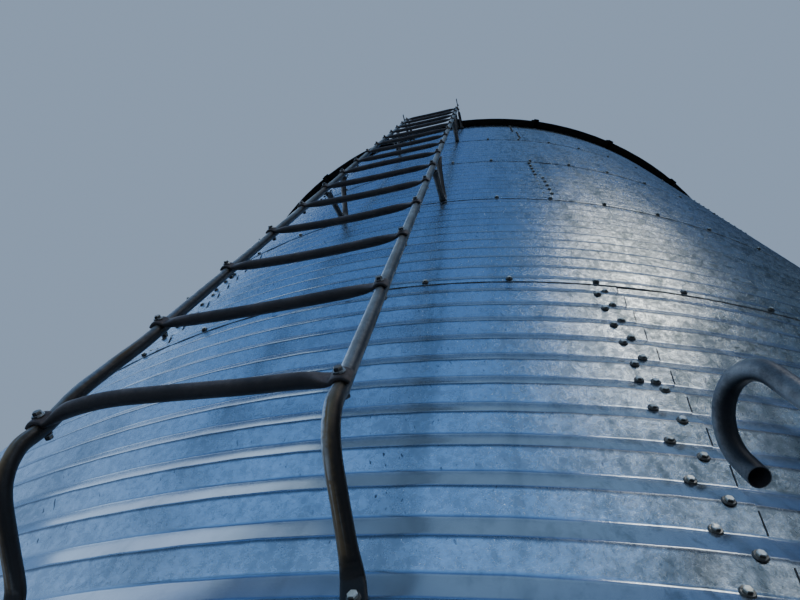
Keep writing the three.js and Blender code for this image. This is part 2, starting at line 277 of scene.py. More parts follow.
# %% Shader group for zinc spangle
@node_group(SHADER, Vector="Vector", Crystals_per_metre=125.0, Grain_per_metre=420.0)
def zinc_spangle(start):
    place = start["Vector"]
    crystals = add(start.tree, "ShaderNodeTexVoronoi", {
        "Vector": place, "Scale": start["Crystals per metre"], "Randomness": 1.0})["Color"]
    shade = add(start.tree, "ShaderNodeSeparateColor", {"Color": crystals})["Red"]
    speckle = ramp(noise(place, start["Grain per metre"], 3.0, 0.7), 0.34, 0.66)
    tone = shade * 0.45 + speckle * 0.55
    return {"Tone": tone, "Height": tone * 0.0002}


# %% Shader group for rain streaks
@node_group(SHADER, Vector="Vector", Streaks_per_metre=9.0, Threshold=0.5)
def rain_streaks(start):
    place, threshold = start["Vector"], start["Threshold"]
    wide = noise(stretched(place, (1, 1, 0.035)), start["Streaks per metre"], 4.0, 0.62)
    broken = ramp(noise(place, 2.3), 0.3, 0.62)
    return {"Mask": ramp(wide, threshold, threshold + 0.22) * broken}


# %% Shader group for scratches
SCRATCH_WAYS = (((210, 210, 13), 0.20), ((160, 160, 9), 0.42), ((240, 240, 20), -0.3))


@node_group(SHADER, Vector="Vector", Density=0.5)
def scratches(start):
    """Long thin noise at three slants, only where a wider noise allows it."""
    place = start["Vector"]
    low = 0.80 - start["Density"] * 0.1
    masks = []
    for scale, slant in SCRATCH_WAYS:
        turned = stretched(place, turn=(0, slant, 0))
        line = noise(stretched(turned, scale), 1.0, 1.0, 0.4)
        masks.append(ramp(line, low, low + 0.035))
    every = calc("MAXIMUM", calc("MAXIMUM", masks[0], masks[1]), masks[2])
    return {"Mask": every * ramp(noise(place, 3.5), 0.42, 0.62)}


# %% [markdown]
# The wall's waves give each height its own look. The slopes that face down keep their
# crystals and weather pale, the slopes that face up are worn smooth, and a dark line lies
# just under each crest, partly grime where rain drips off and partly painted shade. A thin
# painted highlight runs along each valley. The height of a point tells its place in the
# wave, so a group turns it into these masks without a map painted by hand.

# %% Shader group for the bands of a wave
@node_group(SHADER, Vector="Vector", Pitch=WAVE_PITCH, Line_width=0.007)
def wave_bands(start):
    place, pitch = start["Vector"], start["Pitch"]
    phase = calc("FRACT", axes(place)["Z"] / pitch)
    width = start["Line width"] * (noise(place, 30.0, 3.0) + 0.5)
    # Line: a dark line under each crest, partly grime and partly painted shade.
    line = ramp((1.0 - phase) * pitch / width, 0.35, 1.1, 1.0, 0.0)
    # Valley highlight: a painted highlight along each valley.
    valley = ramp(calc("ABSOLUTE", phase - 0.47), 0.0, 0.06, 1.0, 0.0)
    return {"Line": line, "Valley": valley, "Under": ramp(phase, 0.49, 0.57)}


# %% [markdown]
# Painted shade, mixed with some soot and grime, darkens the faces that look down or to one
# given side. A group compares the surface's own direction, in the object's axes, with a
# given one. The same group paints shade on bolts, rungs, rails and the lip of the eave, and
# it also finds the side of the rails that gets a painted highlight.

# %% Shader group for painted shade, painted highlight and grime on one side
@node_group(SHADER, Vector="Vector", Normal="Vector", Direction=(0.0, 0.0, -1.0),
            From=-0.1, To=0.6)
def side_grime(start):
    facing = vector_calc("DOT_PRODUCT", start["Normal"], start["Direction"])
    ragged = noise(start["Vector"], 90.0, 3.0, 0.6) * 0.5 + facing - 0.25
    return {"Mask": ramp(ragged, start["From"], start["To"])}


# %% [markdown]
# ## Finishes
# Each material mixes a light and a dark tone of its metal by those effects, lays dirt, and in
# places painted shade and highlights, over it coat by coat, and lets the same effects roughen
# the gloss and raise the surface a little. They read Object coordinates, which are metres
# here because every piece sits at the origin.

# %% Helper for the materials
class Finish:
    """A material in the making: where a point lies, how it faces and its colour so far."""

    def __init__(self, name, metallic=0.0):
        self.material = bpy.data.materials.new(name)
        self.material.use_nodes = True
        self.tree = self.material.node_tree
        self.tree.nodes.clear()
        self.metallic = metallic
        given = add(self.tree, "ShaderNodeTexCoord")
        self.place, self.normal = given["Object"], given["Normal"]
        self.colour = None

    def use(self, group, **values):
        """Places a shader group, with its inputs given by their names."""
        inputs = {label.replace("_", " "): value for label, value in values.items()}
        return add(self.tree, "ShaderNodeGroup", {"Vector": self.place, **inputs},
                   node_tree=group)

    def facing(self, **values):
        return self.use(side_grime, Normal=self.normal, **values)["Mask"]

    def cover(self, amount, colour):
        """Lays a coat of colour over what is there, as thick as the amount says."""
        self.colour = mixed(amount, self.colour, colour)

    def done(self, roughness, height=0.0):
        bump = add(self.tree, "ShaderNodeBump", {"Height": height, "Distance": 1.0})
        shader = add(self.tree, "ShaderNodeBsdfPrincipled", {
            "Base Color": self.colour, "Metallic": self.metallic, "Roughness": roughness,
            "Normal": bump})
        add(self.tree, "ShaderNodeOutputMaterial", {"Surface": shader})
        return self.material


# %% [markdown]
# The wall is bright zinc that has frosted over. On its left it is cleaner, and its tones
# there and on the slopes that face up are tinted blue as a painted reflection of the sky. On
# its right dust and smears stand out against the light, so the tones spread wider there
# and the grime is stronger. The frost lies only on the slopes that face down.

# %% Galvanised sheet of the wall
def wall_sheet():
    skin = Finish("galvanised_wall_sheet", 0.92)
    place = skin.place
    bands, zinc = skin.use(wave_bands), skin.use(zinc_spangle)
    under = bands["Under"]
    right = ramp(axes(place)["X"], -0.10, 0.40)
    cloudy = ramp(noise(place, 5.0, 3.0), 0.30, 0.72)
    frost = ramp(noise(place, 62.0, 5.0, 0.70), 0.36, 0.64)
    tone = frost * 0.40 + zinc["Tone"] * 0.35 + cloudy * 0.25
    # The clean tones are tinted blue: a painted reflection of the sky.
    clean = mixed(tone, (0.36, 0.43, 0.50), (0.70, 0.78, 0.86))
    dusty = mixed(tone, (0.08, 0.10, 0.10), (0.94, 0.95, 0.90))
    # The slopes that face up: a smooth tone tinted blue, as a painted reflection of the sky.
    rubbed_and_painted_light = mixed(cloudy, (0.47, 0.52, 0.58), (0.56, 0.61, 0.66))
    skin.colour = mixed(under, rubbed_and_painted_light, mixed(right, clean, dusty))
    # Painted highlight: a thin pale line along each valley.
    skin.cover(bands["Valley"] * 0.45, (0.78, 0.82, 0.84))
    rain = skin.use(rain_streaks)["Mask"] * (right * 0.35 + 0.40)
    skin.cover(rain, (0.15, 0.18, 0.20))
    wide = skin.use(rain_streaks, Streaks_per_metre=11.0, Threshold=0.47)["Mask"]
    smears = ramp(noise(stretched(place, (26, 26, 11)), 1.0, 5.0, 0.7), 0.46, 0.66)
    grime = calc("MAXIMUM", wide, smears) * (right * 0.50 + 0.10)
    skin.cover(grime, (0.04, 0.065, 0.065))
    # A dark line under each crest: partly grime, partly painted shade.
    skin.cover(bands["Line"] * 0.75, (0.05, 0.06, 0.08))
    marks = skin.use(scratches, Density=0.5)["Mask"]
    skin.cover(marks * (under * 0.8 + 0.1), (0.04, 0.05, 0.07))
    frosted = ramp(tone, 0.25, 0.75, 0.30, 0.16)
    smooth_slope = 0.18
    rough = (frosted - smooth_slope) * under + smooth_slope
    dents = noise(place, 4.0) * 0.0025
    return skin.done(rough + rain * 0.08, zinc["Height"] * under + dents)


# %% Galvanised sheet of the roof and the floor
def dull_sheet(name, light, dark, metallic, grime):
    skin = Finish(name, metallic)
    zinc = skin.use(zinc_spangle)
    cloudy = ramp(noise(skin.place, 3.1, 3.0), 0.32, 0.7)
    tone = cloudy * 0.35 + zinc["Tone"] * 0.65
    skin.colour = mixed(tone, dark, light)
    skin.cover(skin.use(rain_streaks)["Mask"] * 0.35, (0.10, 0.09, 0.08))
    # Painted shade, with some dirt, on faces that look down, such as under the eave.
    below = skin.facing(From=-0.35, To=0.15)
    skin.cover(below * grime, (0.028, 0.021, 0.017))
    rough = ramp(tone, 0.0, 1.0, 0.46, 0.30) + below * 0.25
    return skin.done(rough, zinc["Height"])


WALL_SHEET = wall_sheet()
ROOF_SHEET = dull_sheet("galvanised_roof_sheet", (0.50, 0.54, 0.58), (0.26, 0.29, 0.32),
                        0.85, 1.0)
FLOOR_STEEL = dull_sheet("dull_floor_plate", (0.40, 0.42, 0.44), (0.24, 0.25, 0.27),
                         0.7, 0.2)


# %% [markdown]
# The tubes have lost their shine. Brown stains run down them, and painted shade with some
# soot darkens one side of each, mostly the side that faces down. The rails have more: ochre
# mud splashed up from the ground lies in veins above their feet, the feet are black, and a
# painted highlight runs along their left side. The veins are noise drawn out along the
# tube, in axes turned to face the ladder. The vent pipe also gets painted shade inside its
# bend, which a distance from the bend's centre marks.

# %% Weathered tube for the ladder, the rungs and the vent
MUD, SHADE_AND_SOOT, BLACK_FOOT = (0.20, 0.115, 0.035), (0.015, 0.011, 0.009), (0.012, 0.010, 0.008)
PAINTED_EDGE_HIGHLIGHT, BEND_SHADE = (0.86, 0.90, 0.94), (0.006, 0.004, 0.004)


def weathered_tube(name, light, dark, stain, stain_from, metallic, gloss, grime, direction,
                   shade_and_soot_to=0.6, bend=None, foot=None, highlight_side=None):
    skin = Finish(name, metallic)
    place = skin.place
    zinc = skin.use(zinc_spangle, Crystals_per_metre=160.0)
    rain = skin.use(rain_streaks, Streaks_per_metre=70.0, Threshold=stain_from)["Mask"]
    patches = ramp(noise(place, 14.0, 4.0, 0.6), 0.38, 0.68)
    tone = patches * 0.6 + zinc["Tone"] * 0.4
    skin.colour = mixed(tone, dark, light)
    skin.cover(rain, stain)
    if foot is not None:
        height = axes(place)["Z"]
        turned = stretched(place, turn=(0, 0, math.radians(-LADDER_AZIMUTH)))
        veins = ramp(noise(stretched(turned, (210, 5, 9)), 1.0), 0.32, 0.56)
        skin.cover(veins * ramp(height, foot + 0.26, foot + 0.12) * 0.92, MUD)
    # Painted shade, with some soot, on the side that the direction gives.
    skin.cover(skin.facing(Direction=direction, To=shade_and_soot_to) * grime, SHADE_AND_SOOT)
    if foot is not None:
        black = ramp(height + patches * 0.012, foot + 0.040, foot + 0.022)
        skin.cover(black * 0.96, BLACK_FOOT)
        # A painted highlight along the rails' left side, above the foot.
        rubbed_and_painted_light = skin.facing(Direction=highlight_side, From=0.70, To=1.0)
        skin.cover(rubbed_and_painted_light * ramp(height, foot + 0.02, foot + 0.10), PAINTED_EDGE_HIGHLIGHT)
    if bend is not None:
        # Painted shade inside the vent's bend.
        reach = vector_calc("LENGTH", vector_calc("SUBTRACT", place, tuple(bend)))
        skin.cover(ramp(reach, 0.050, 0.063, 0.97, 0.0), BEND_SHADE)
    rough = ramp(tone, 0.0, 1.0, gloss + 0.16, gloss) + rain * 0.2
    return skin.done(rough, zinc["Height"])


LADDER_TUBE = weathered_tube(
    "weathered_ladder_tube", (0.44, 0.41, 0.365), (0.23, 0.205, 0.17),
    (0.24, 0.135, 0.04), 0.50, 0.50, 0.28, 0.95, (0.92, 0.0, -0.40), 0.80,
    foot=FOOT_HEIGHT, highlight_side=(-0.93, -0.36, 0.0))
# The braces and struts are the ladder's tube painted darker: painted shade.
SHADED_BRACE_TUBE = weathered_tube(
    "darkened_brace_tube", (0.27, 0.235, 0.20), (0.09, 0.075, 0.06),
    (0.17, 0.09, 0.03), 0.52, 0.45, 0.34, 0.92, (0.80, 0.0, -0.60), 0.8)
# The rungs are the same tube painted darker and browner: a brown stain and painted shade.
SHADED_RUNG_TUBE = weathered_tube(
    "weathered_rung_tube", (0.21, 0.135, 0.095), (0.05, 0.033, 0.024),
    (0.13, 0.06, 0.024), 0.56, 0.25, 0.40, 0.93, (0.0, 0.0, -1.0), 0.95)
VENT_TUBE = weathered_tube(
    "dull_vent_pipe", (0.52, 0.48, 0.44), (0.13, 0.12, 0.115),
    (0.06, 0.055, 0.05), 0.60, 0.50, 0.34, 0.5, (0.12, -0.80, -0.59), bend=VENT_CENTRE)


# %% [markdown]
# The wall's bolts are yellowed zinc, and the ladder's are tarnished. Each bolt's mesh
# carries an attribute named shade, which is one on the washer, less on the head's sides and
# nought on the crown. The finish mixes in a washer colour by it, which paints light and
# shade: the wall's bolts get a bright crown as a painted highlight and a dark washer and
# sides as painted shade, and the ladder's get a pale washer as a painted highlight. Painted
# shade darkens the underside of each head, and grime lies in spots. The mastic in the laps
# is black and lumpy, and the same black finish also paints shadow and shade.

# %% Zinc bolts and lap mastic
def bolt_zinc(name, light, dark, shade_and_grime_colour, washer, metallic):
    skin = Finish(name, metallic)
    skin.colour = mixed(ramp(noise(skin.place, 60.0, 3.0), 0.35, 0.65), dark, light)
    # The shade attribute paints light and shade: the washer and head sides take the washer
    # colour.
    skin.cover(add(skin.tree, "ShaderNodeAttribute", attribute_name="shade")["Fac"], washer)
    grime = ramp(noise(skin.place, 160.0, 4.0, 0.7), 0.52, 0.75)
    # Painted shade under the head, and grime in spots.
    shade_and_grime = calc("MAXIMUM", skin.facing(From=0.25, To=0.85), grime * 0.7)
    skin.cover(shade_and_grime, shade_and_grime_colour)
    return skin.done(ramp(shade_and_grime, 0.0, 1.0, 0.20, 0.55), grime * 0.0002)


# One black finish for the mastic, the painted shadow in the lap gaps and the painted shade in
# the vent's bore.
def lap_mastic():
    skin = Finish("lap_mastic")
    lumps = noise(skin.place, 220.0, 3.0)
    skin.colour = mixed(lumps, (0.010, 0.009, 0.009), (0.035, 0.030, 0.028))
    return skin.done(ramp(lumps, 0.0, 1.0, 0.5, 0.8), lumps * 0.0006)


# The wall bolts' light tone is a painted highlight on the crown and their dark washer tone
# painted shade; the ladder bolts' pale washer is a painted highlight.
BOLT_ZINC = bolt_zinc("yellowed_zinc_bolts", (1.0, 0.98, 0.86), (0.72, 0.66, 0.50),
                      (0.036, 0.027, 0.019), (0.13, 0.115, 0.09), 0.20)
BOLT_DULL = bolt_zinc("tarnished_ladder_bolts", (0.22, 0.18, 0.13), (0.07, 0.055, 0.04),
                      (0.015, 0.011, 0.009), (0.42, 0.40, 0.36), 0.30)
MASTIC_AND_SHADE = lap_mastic()
print("materials", len(bpy.data.materials))

# %% [markdown]
# ## Turning a tree into a plain mesh
# The export keeps no modifiers and no instances. So each object with a Geometry Nodes
# modifier is evaluated once, its result becomes the object's own mesh, and the modifier
# goes. Edges that turn sharply are marked, so that smooth shading stops there.

# %% Helpers that make and bake pieces
SHEET_EDGE = math.radians(32)
TUBE_EDGE = math.radians(50)


def new_piece(name, vertices, faces=(), edges=()):
    mesh = bpy.data.meshes.new(name)
    mesh.from_pydata([tuple(v) for v in vertices], list(edges), list(faces))
    mesh.validate()
    piece = bpy.data.objects.new(name, mesh)
    bpy.context.scene.collection.objects.link(piece)
    return piece


def smooth(piece, angle=SHEET_EDGE):
    mesh = piece.data
    mesh.polygons.foreach_set("use_smooth", [True] * len(mesh.polygons))
    mesh.set_sharp_from_angle(angle=angle)
    mesh.update()


def run_tree(piece, tree, **values):
    """Applies a Geometry Nodes tree, with its inputs given by their names."""
    modifier = piece.modifiers.new("build", "NODES")
    modifier.node_group = tree
    sockets = {item.name: item.identifier for item in tree.interface.items_tree
               if item.item_type == "SOCKET" and item.in_out == "INPUT"}
    for label, value in values.items():
        modifier[sockets[label.replace("_", " ")]] = value
    graph = bpy.context.evaluated_depsgraph_get()
    graph.update()
    built = bpy.data.meshes.new_from_object(piece.evaluated_get(graph))
    piece.modifiers.clear()
    spare, piece.data = piece.data, built
    bpy.data.meshes.remove(spare)
    built.name = piece.name


def dress(piece, slot, material, *nodes):
    """The usual end of a piece: its finish, its body and the solids it covers. The slot is not
    used.
    """
    piece.data.materials.clear()
    piece.data.materials.append(material)
    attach(piece, "root")
    if nodes:
        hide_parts(*nodes)
    piece.data.calc_loop_triangles()
    print(piece.name, len(piece.data.loop_triangles), "triangles")
    return piece


# %% Node shorthand for copies
def upright(tree, height):
    """A vector along Z: a lift, or a turn about the upright."""
    return add(tree, "ShaderNodeCombineXYZ", {"Z": height})


def scaled(vector, amount):
    return add(amount.tree, "ShaderNodeVectorMath", {0: vector, "Scale": amount},
               operation="SCALE")


def copies_on(points, piece, **turn):
    """A copy of a piece on every point, all in one mesh."""
    many = add(points.tree, "GeometryNodeInstanceOnPoints", {
        "Points": points, "Instance": piece, **turn})
    return add(points.tree, "GeometryNodeRealizeInstances", {"Geometry": many})


def copies_round(piece, count, first_angle=0.0):
    """Copies of a piece at equal steps round the axis."""
    tree = piece.tree
    points = add(tree, "GeometryNodeMeshLine", {"Count": count, "Offset": (0, 0, 0)})
    number = add(tree, "GeometryNodeInputIndex")
    turn = number * (math.tau / count) + first_angle
    return copies_on(points, piece, Rotation=upright(tree, turn))


def moved(geometry, offset):
    return add(geometry.tree, "GeometryNodeSetPosition", {
        "Geometry": geometry, "Offset": offset})


# %% [markdown]
# ## Wall sheets
# A ring is six sheets rolled to the same curve. A flat section with the waves drawn in it
# is swept along an arc by a Geometry Nodes tree, which then sets six copies round the
# ring. Each sheet's left end ducks under its neighbour by the tree's tuck input, and its
# top edge is drawn tucked in, so that every lap is real and shows its own edge.

# %% Tree that sweeps a section round the wall
TUCK_RUN = 0.012


@node_group(GEOMETRY, Section="Geometry", First_angle=0.0, Start=0.0, Sweep=1.0, Steps=26,
            Tuck=0.0, Tuck_angle=0.0)
def sheets_round_the_wall(start):
    tree = start.tree
    section = add(tree, "GeometryNodeMeshToCurve", {"Mesh": start["Section"]})
    arc = add(tree, "GeometryNodeCurveArc", {
        "Resolution": start["Steps"], "Radius": WALL_RADIUS,
        "Start Angle": start["Start"], "Sweep Angle": start["Sweep"]})
    level = add(tree, "GeometryNodeSetCurveNormal", {"Curve": arc}, mode="Z_UP")
    sheet = add(tree, "GeometryNodeCurveToMesh", {
        "Curve": level, "Profile Curve": section, "Fill Caps": True})
    place = add(tree, "GeometryNodeInputPosition")
    parts = axes(place)
    angle = calc("ARCTAN2", parts["Y"], parts["X"])
    tuck_from = start["Start"] + start["Tuck angle"]
    inwards = ramp(angle, tuck_from, tuck_from + TUCK_RUN, -1.0, 0.0) * start["Tuck"]
    away = vector_calc("NORMALIZE", vector_calc("MULTIPLY", place, (1.0, 1.0, 0.0)))
    tucked = moved(sheet, scaled(away, inwards))
    return {"Geometry": copies_round(tucked, SHEETS_PER_RING, start["First angle"])}


# %% [markdown]
# The wave is two straight slopes with a small round at the crest and in the valley. The
# slope that gives the right depth follows from the radius of the rounds, and a short
# search by halving finds it. The points crowd in the rounds, where the light turns.

# %% The section of a corrugated sheet
ROUND_RADIUS = 0.018
ROUND_STEPS = (-1.0, -0.5, 0.0, 0.5, 1.0)
END_CLEAR = 0.001
DUCK_RUN = 0.014
STEEPEST = math.radians(40)
HALVINGS = 40


def wave_slope():
    low, high = 0.0, STEEPEST
    for _ in range(HALVINGS):
        slope = (low + high) / 2
        straight = (WAVE_PITCH / 2 - 2 * ROUND_RADIUS * math.sin(slope)) * math.tan(slope)
        depth = 2 * ROUND_RADIUS * (1 - math.cos(slope)) + straight
        low, high = (slope, high) if depth < WAVE_DEPTH else (low, slope)
    return slope


WAVE_SLOPE = wave_slope()
ROUND_HALF = ROUND_RADIUS * math.sin(WAVE_SLOPE)
print("slope of the waves", round(math.degrees(WAVE_SLOPE), 1), "degrees")


def wave_offset(height):
    """How far the middle of the sheet stands out from the mean radius at a height."""
    phase = (height / WAVE_PITCH) % 1.0
    run = min(phase, 1 - phase) * WAVE_PITCH
    side = 1.0
    if run > WAVE_PITCH / 4:
        run, side = WAVE_PITCH / 2 - run, -1.0
    if run < ROUND_HALF:
        drop = ROUND_RADIUS - math.sqrt(ROUND_RADIUS ** 2 - run ** 2)
    else:
        drop = (ROUND_RADIUS * (1 - math.cos(WAVE_SLOPE))
                + (run - ROUND_HALF) * math.tan(WAVE_SLOPE))
    return side * (WAVE_DEPTH / 2 - drop)


def wave_heights(low, high):
    """Heights for the section's points: a few in each round, and both ends."""
    heights = {low, high}
    for half in range(int(2 * low / WAVE_PITCH) - 1, int(2 * high / WAVE_PITCH) + 2):
        for part in ROUND_STEPS:
            height = half * WAVE_PITCH / 2 + ROUND_HALF * part
            if low + END_CLEAR < height < high - END_CLEAR:
                heights.add(height)
    return sorted(heights)


def smooth_step(value, low, high):
    part = min(max((value - low) / (high - low), 0.0), 1.0)
    return part * part * (3 - 2 * part)


def sheet_section(low, high, tuck_from=None, thickness=SHEET, out=0.0):
    """A closed outline: up the outer face of the sheet and back down the inner one."""
    middle = []
    for height in wave_heights(low, high):
        offset = wave_offset(height) + out
        if tuck_from is not None:
            offset -= (SHEET + LAP_GAP) * smooth_step(height, tuck_from - DUCK_RUN, tuck_from)
        middle.append((offset, height))
    outer = [(offset + thickness / 2, height) for offset, height in middle]
    inner = [(offset - thickness / 2, height) for offset, height in reversed(middle)]
    return outer + inner


def wall_piece(name, outlines, first_azimuth, material, *nodes, **sweep):
    """Closed outlines swept round the wall. The sweep hangs their Y axis downwards."""
    vertices, edges = [], []
    for outline in outlines:
        first, count = len(vertices), len(outline)
        vertices += [(out, -height, 0.0) for out, height in outline]
        edges += [(first + i, first + (i + 1) % count) for i in range(count)]
    piece = new_piece(name, vertices, edges=edges)
    run_tree(piece, sheets_round_the_wall, First_angle=math.radians(first_azimuth - 90), **sweep)
    smooth(piece)
    dress(piece, "galvanised_wall", material, *nodes)


# %% Build the seven rings of sheets
UPPER_EDGE = 0.004
SHEET_SWEEP = math.tau / SHEETS_PER_RING + 2 * LAP_HALF_ANGLE
SHEET_STEPS = 27
TUCK_DEPTH = SHEET + 0.0004
TUCK_UP_TO = 2.2 * LAP_HALF_ANGLE


def seam_azimuth(ring):
    return SEAM_AZIMUTH + (0.0 if ring % 2 else SEAM_SHIFT)


def wall_ring(ring):
    low = (ring - 1) * RING_HEIGHT - (LAP_BELOW if ring > 1 else 0.0)
    top = ring * RING_HEIGHT
    if ring == RING_COUNT:
        section = sheet_section(low, top)
    else:
        section = sheet_section(low, top + LAP_ABOVE, top - LAP_BELOW - UPPER_EDGE)
    wall_piece(f"wall_sheets_ring_{ring}", [section], seam_azimuth(ring), WALL_SHEET,
               f"wall_ring_{ring}_right", f"wall_ring_{ring}_left",
               Start=-LAP_HALF_ANGLE, Sweep=SHEET_SWEEP, Steps=SHEET_STEPS,
               Tuck=TUCK_DEPTH, Tuck_angle=TUCK_UP_TO)


for ring in range(1, RING_COUNT + 1):
    wall_ring(ring)

# %% [markdown]
# ## Mastic and painted shadow in the laps
# Black mastic seals the sheets. Beside each upright edge a thin black bead stands partly for
# that mastic and partly for the painted shadow in the gap at the edge. It lies only on the
# slopes that face down. One outline holds a short loop for each wave, and the same sweep
# with a very short arc follows the waves.

# %% Beads of mastic and painted shadow beside the upright laps
BEAD_WIDTH = 0.0021
BEAD_STAND = 0.0008
BEAD_START = LAP_HALF_ANGLE + 0.0001
BEAD_FROM, BEAD_LENGTH, LAST_BEAD_LENGTH = 0.53, 0.36, 0.24


def mastic_bead(ring):
    loops = []
    for wave in range(WAVES_PER_RING):
        low = (ring - 1) * RING_HEIGHT + (wave + BEAD_FROM) * WAVE_PITCH
        length = BEAD_LENGTH if wave < WAVES_PER_RING - 1 else LAST_BEAD_LENGTH
        loops.append(sheet_section(low, low + length * WAVE_PITCH, out=BEAD_STAND))
    wall_piece(f"lap_mastic_ring_{ring}", loops, seam_azimuth(ring), MASTIC_AND_SHADE,
               Start=BEAD_START, Sweep=BEAD_WIDTH / WALL_RADIUS, Steps=2)


for ring in range(1, RING_COUNT + 1):
    mastic_bead(ring)

# %% [markdown]
# The same mastic lies between the rings. The weight of the sheets has squeezed it out below
# each upper sheet's edge, where a black strip, partly that mastic and partly a painted
# shadow of the gap, draws a dark line right round the wall.

# %% Strips of mastic and painted shadow under the ring seams
STRIP_HEIGHT = 0.0042
STRIP_THICKNESS = 0.0012
STRIP_INSIDE = SHEET / 2 + 0.0002
STRIP_STEPS = 25

for ring in range(1, RING_COUNT):
    edge = ring * RING_HEIGHT - LAP_BELOW
    strip = sheet_section(edge - STRIP_HEIGHT, edge + UPPER_EDGE,
                          thickness=STRIP_THICKNESS, out=-STRIP_INSIDE)
    wall_piece(f"seam_mastic_{ring}", [strip], 90, MASTIC_AND_SHADE,
               Start=0.0, Sweep=math.tau / SHEETS_PER_RING, Steps=STRIP_STEPS)

# %% [markdown]
# ## Bolts
# There are some fourteen hundred bolts, all alike, so they are instances on points. Each
# point carries the direction that its head faces, and the tree turns the head that way
# and then by a random angle, as a spanner leaves it. The head is a hexagon with a
# chamfer on a washer, which is enough faces for something this small.

# %% Tree that sets a bolt on every point
WASHER_TOP, HEAD_SIDE, HEAD_CHAMFER, CROWN_TOP = 0.86, 0.72, 0.28, 0.80


@node_group(GEOMETRY, Points="Geometry", Across_flats=0.0112, Head_height=0.0042,
            Washer_radius=0.0104, Washer_thickness=0.0022, Seed=4)
def bolts_on_points(start):
    tree = start.tree
    thick, height, washer_radius = (
        start[label] for label in ("Washer thickness", "Head height", "Washer radius"))
    corner = start["Across flats"] / (2 * math.cos(math.pi / 6))

    def disc(sides, base, top, depth, lift, shade):
        made = add(tree, "GeometryNodeMeshCone", {
            "Vertices": sides, "Radius Bottom": base, "Radius Top": top, "Depth": depth,
        })
        marked = add(tree, "GeometryNodeStoreNamedAttribute", {
            "Geometry": made, "Name": "shade", "Value": shade,
        }, data_type="FLOAT", domain="POINT")
        return add(tree, "GeometryNodeTransform", {
            "Geometry": marked, "Translation": upright(tree, lift)})

    washer = disc(12, washer_radius, washer_radius * WASHER_TOP, thick, 0.0, 1.0)
    body = disc(6, corner, corner, height * HEAD_SIDE, thick, 0.35)
    crown = disc(6, corner, corner * CROWN_TOP, height * HEAD_CHAMFER,
                 thick + height * HEAD_SIDE, 0.0)
    bolt = add(tree, "GeometryNodeJoinGeometry")
    for part in (washer, body, crown):
        fill(bolt.node.inputs["Geometry"], part)
    facing = add(tree, "GeometryNodeInputNamedAttribute", {"Name": "facing"},
                 data_type="FLOAT_VECTOR")
    aligned = add(tree, "FunctionNodeAlignRotationToVector", {"Vector": facing},
                  axis="Z")
    chance = add(tree, "FunctionNodeRandomValue", {
        "Seed": start["Seed"], 2: 0.0, 3: math.pi / 3}, data_type="FLOAT")[1]
    turned = add(tree, "FunctionNodeRotateRotation", {
        "Rotation": aligned, "Rotate By": upright(tree, chance),
    }, rotation_space="LOCAL")
    return {"Geometry": copies_on(start["Points"], bolt, Rotation=turned)}


def bolts(name, places, slot, material=BOLT_ZINC, **sizes):
    """One piece of bolts from (point, facing) pairs."""
    piece = new_piece(name, [point for point, _ in places])
    facing = piece.data.attributes.new("facing", "FLOAT_VECTOR", "POINT")
    facing.data.foreach_set("vector", [v for _, way in places for v in way.normalized()])
    run_tree(piece, bolts_on_points, **sizes)
    dress(piece, slot, material)


# %% [markdown]
# The ring seams have a bolt every five degrees, just under the crest where the rings lap.
# Each upright seam has two columns. The left one has its bolts in the valleys up to half
# way and on the crests above, and the right one the other way round.

# %% Bolt places on the wall
SEAM_BOLTS = 72
SEAM_BOLT_AZIMUTH = 1.61
SEAM_BOLT_BELOW = 0.007
SEAM_BOLT_FACE = CREST_RADIUS + SHEET / 2 - 0.0006
COLUMN_HALF_ANGLE = 0.335
LEFT_ROWS = [0.52, 1.53, 2.54, 3.55, 4.55, 5.56, 6.0, 7.0, 7.96, 8.96, 9.95]
RIGHT_ROWS = [1.0, 2.0, 3.0, 4.02, 5.04, 5.55, 6.56, 7.55, 8.53, 9.54, 10.52]


def seam_places():
    azimuths = [SEAM_BOLT_AZIMUTH + step * 360 / SEAM_BOLTS for step in range(SEAM_BOLTS)]
    return [(around(azimuth, SEAM_BOLT_FACE, seam * RING_HEIGHT - SEAM_BOLT_BELOW),
             outward(azimuth)) for seam in range(1, RING_COUNT) for azimuth in azimuths]


def lap_places(*rings):
    places = []
    for ring in rings:
        for sheet in range(SHEETS_PER_RING):
            middle = seam_azimuth(ring) + sheet * 360 / SHEETS_PER_RING
            for turn, rows in ((-COLUMN_HALF_ANGLE, LEFT_ROWS), (COLUMN_HALF_ANGLE, RIGHT_ROWS)):
                for row in rows:
                    height = (ring - 1) * RING_HEIGHT + row * WAVE_PITCH
                    radius = WALL_RADIUS + wave_offset(height) + SHEET / 2
                    places.append((around(middle + turn, radius, height),
                                   outward(middle + turn)))
    return places


bolts("ring_seam_bolts", seam_places(), "galvanised_wall")
bolts("lap_bolts_lower", lap_places(1, 2, 3, 4), "galvanised_wall", Seed=9)
bolts("lap_bolts_upper", lap_places(5, 6, 7), "galvanised_wall", Seed=12)

# %% [markdown]
# ## Bent tube
# The ladder is all one tube, bent by hand and squeezed flat where it is bolted. A tube is
# a row of closed loops. Each loop's outline passes from a circle to a flat bar as its
# flatness goes from nought to one, and the corners of the route are cut until they are
# round. That keeps the squeezed ends, which a plain curve bevel would lose.

# %% Helpers that sweep a tube along a route
TUBE_SIDES = 16
FLAT_SQUARENESS = 2.4


def rounded(route, cut, rounds=3):
    """Cuts each corner of a route of (point, flatness) pairs, a little less each time."""
    for _ in range(rounds):
        softer = [route[0]]
        for before, here, after in zip(route, route[1:], route[2:]):
            for other in (before, after):
                length = (other[0] - here[0]).length
                part = min(cut / length, 0.3) if length > 0 else 0
                softer.append((here[0].lerp(other[0], part),
                               here[1] + (other[1] - here[1]) * part))
        route = softer + [route[-1]]
        cut /= 3
    return route


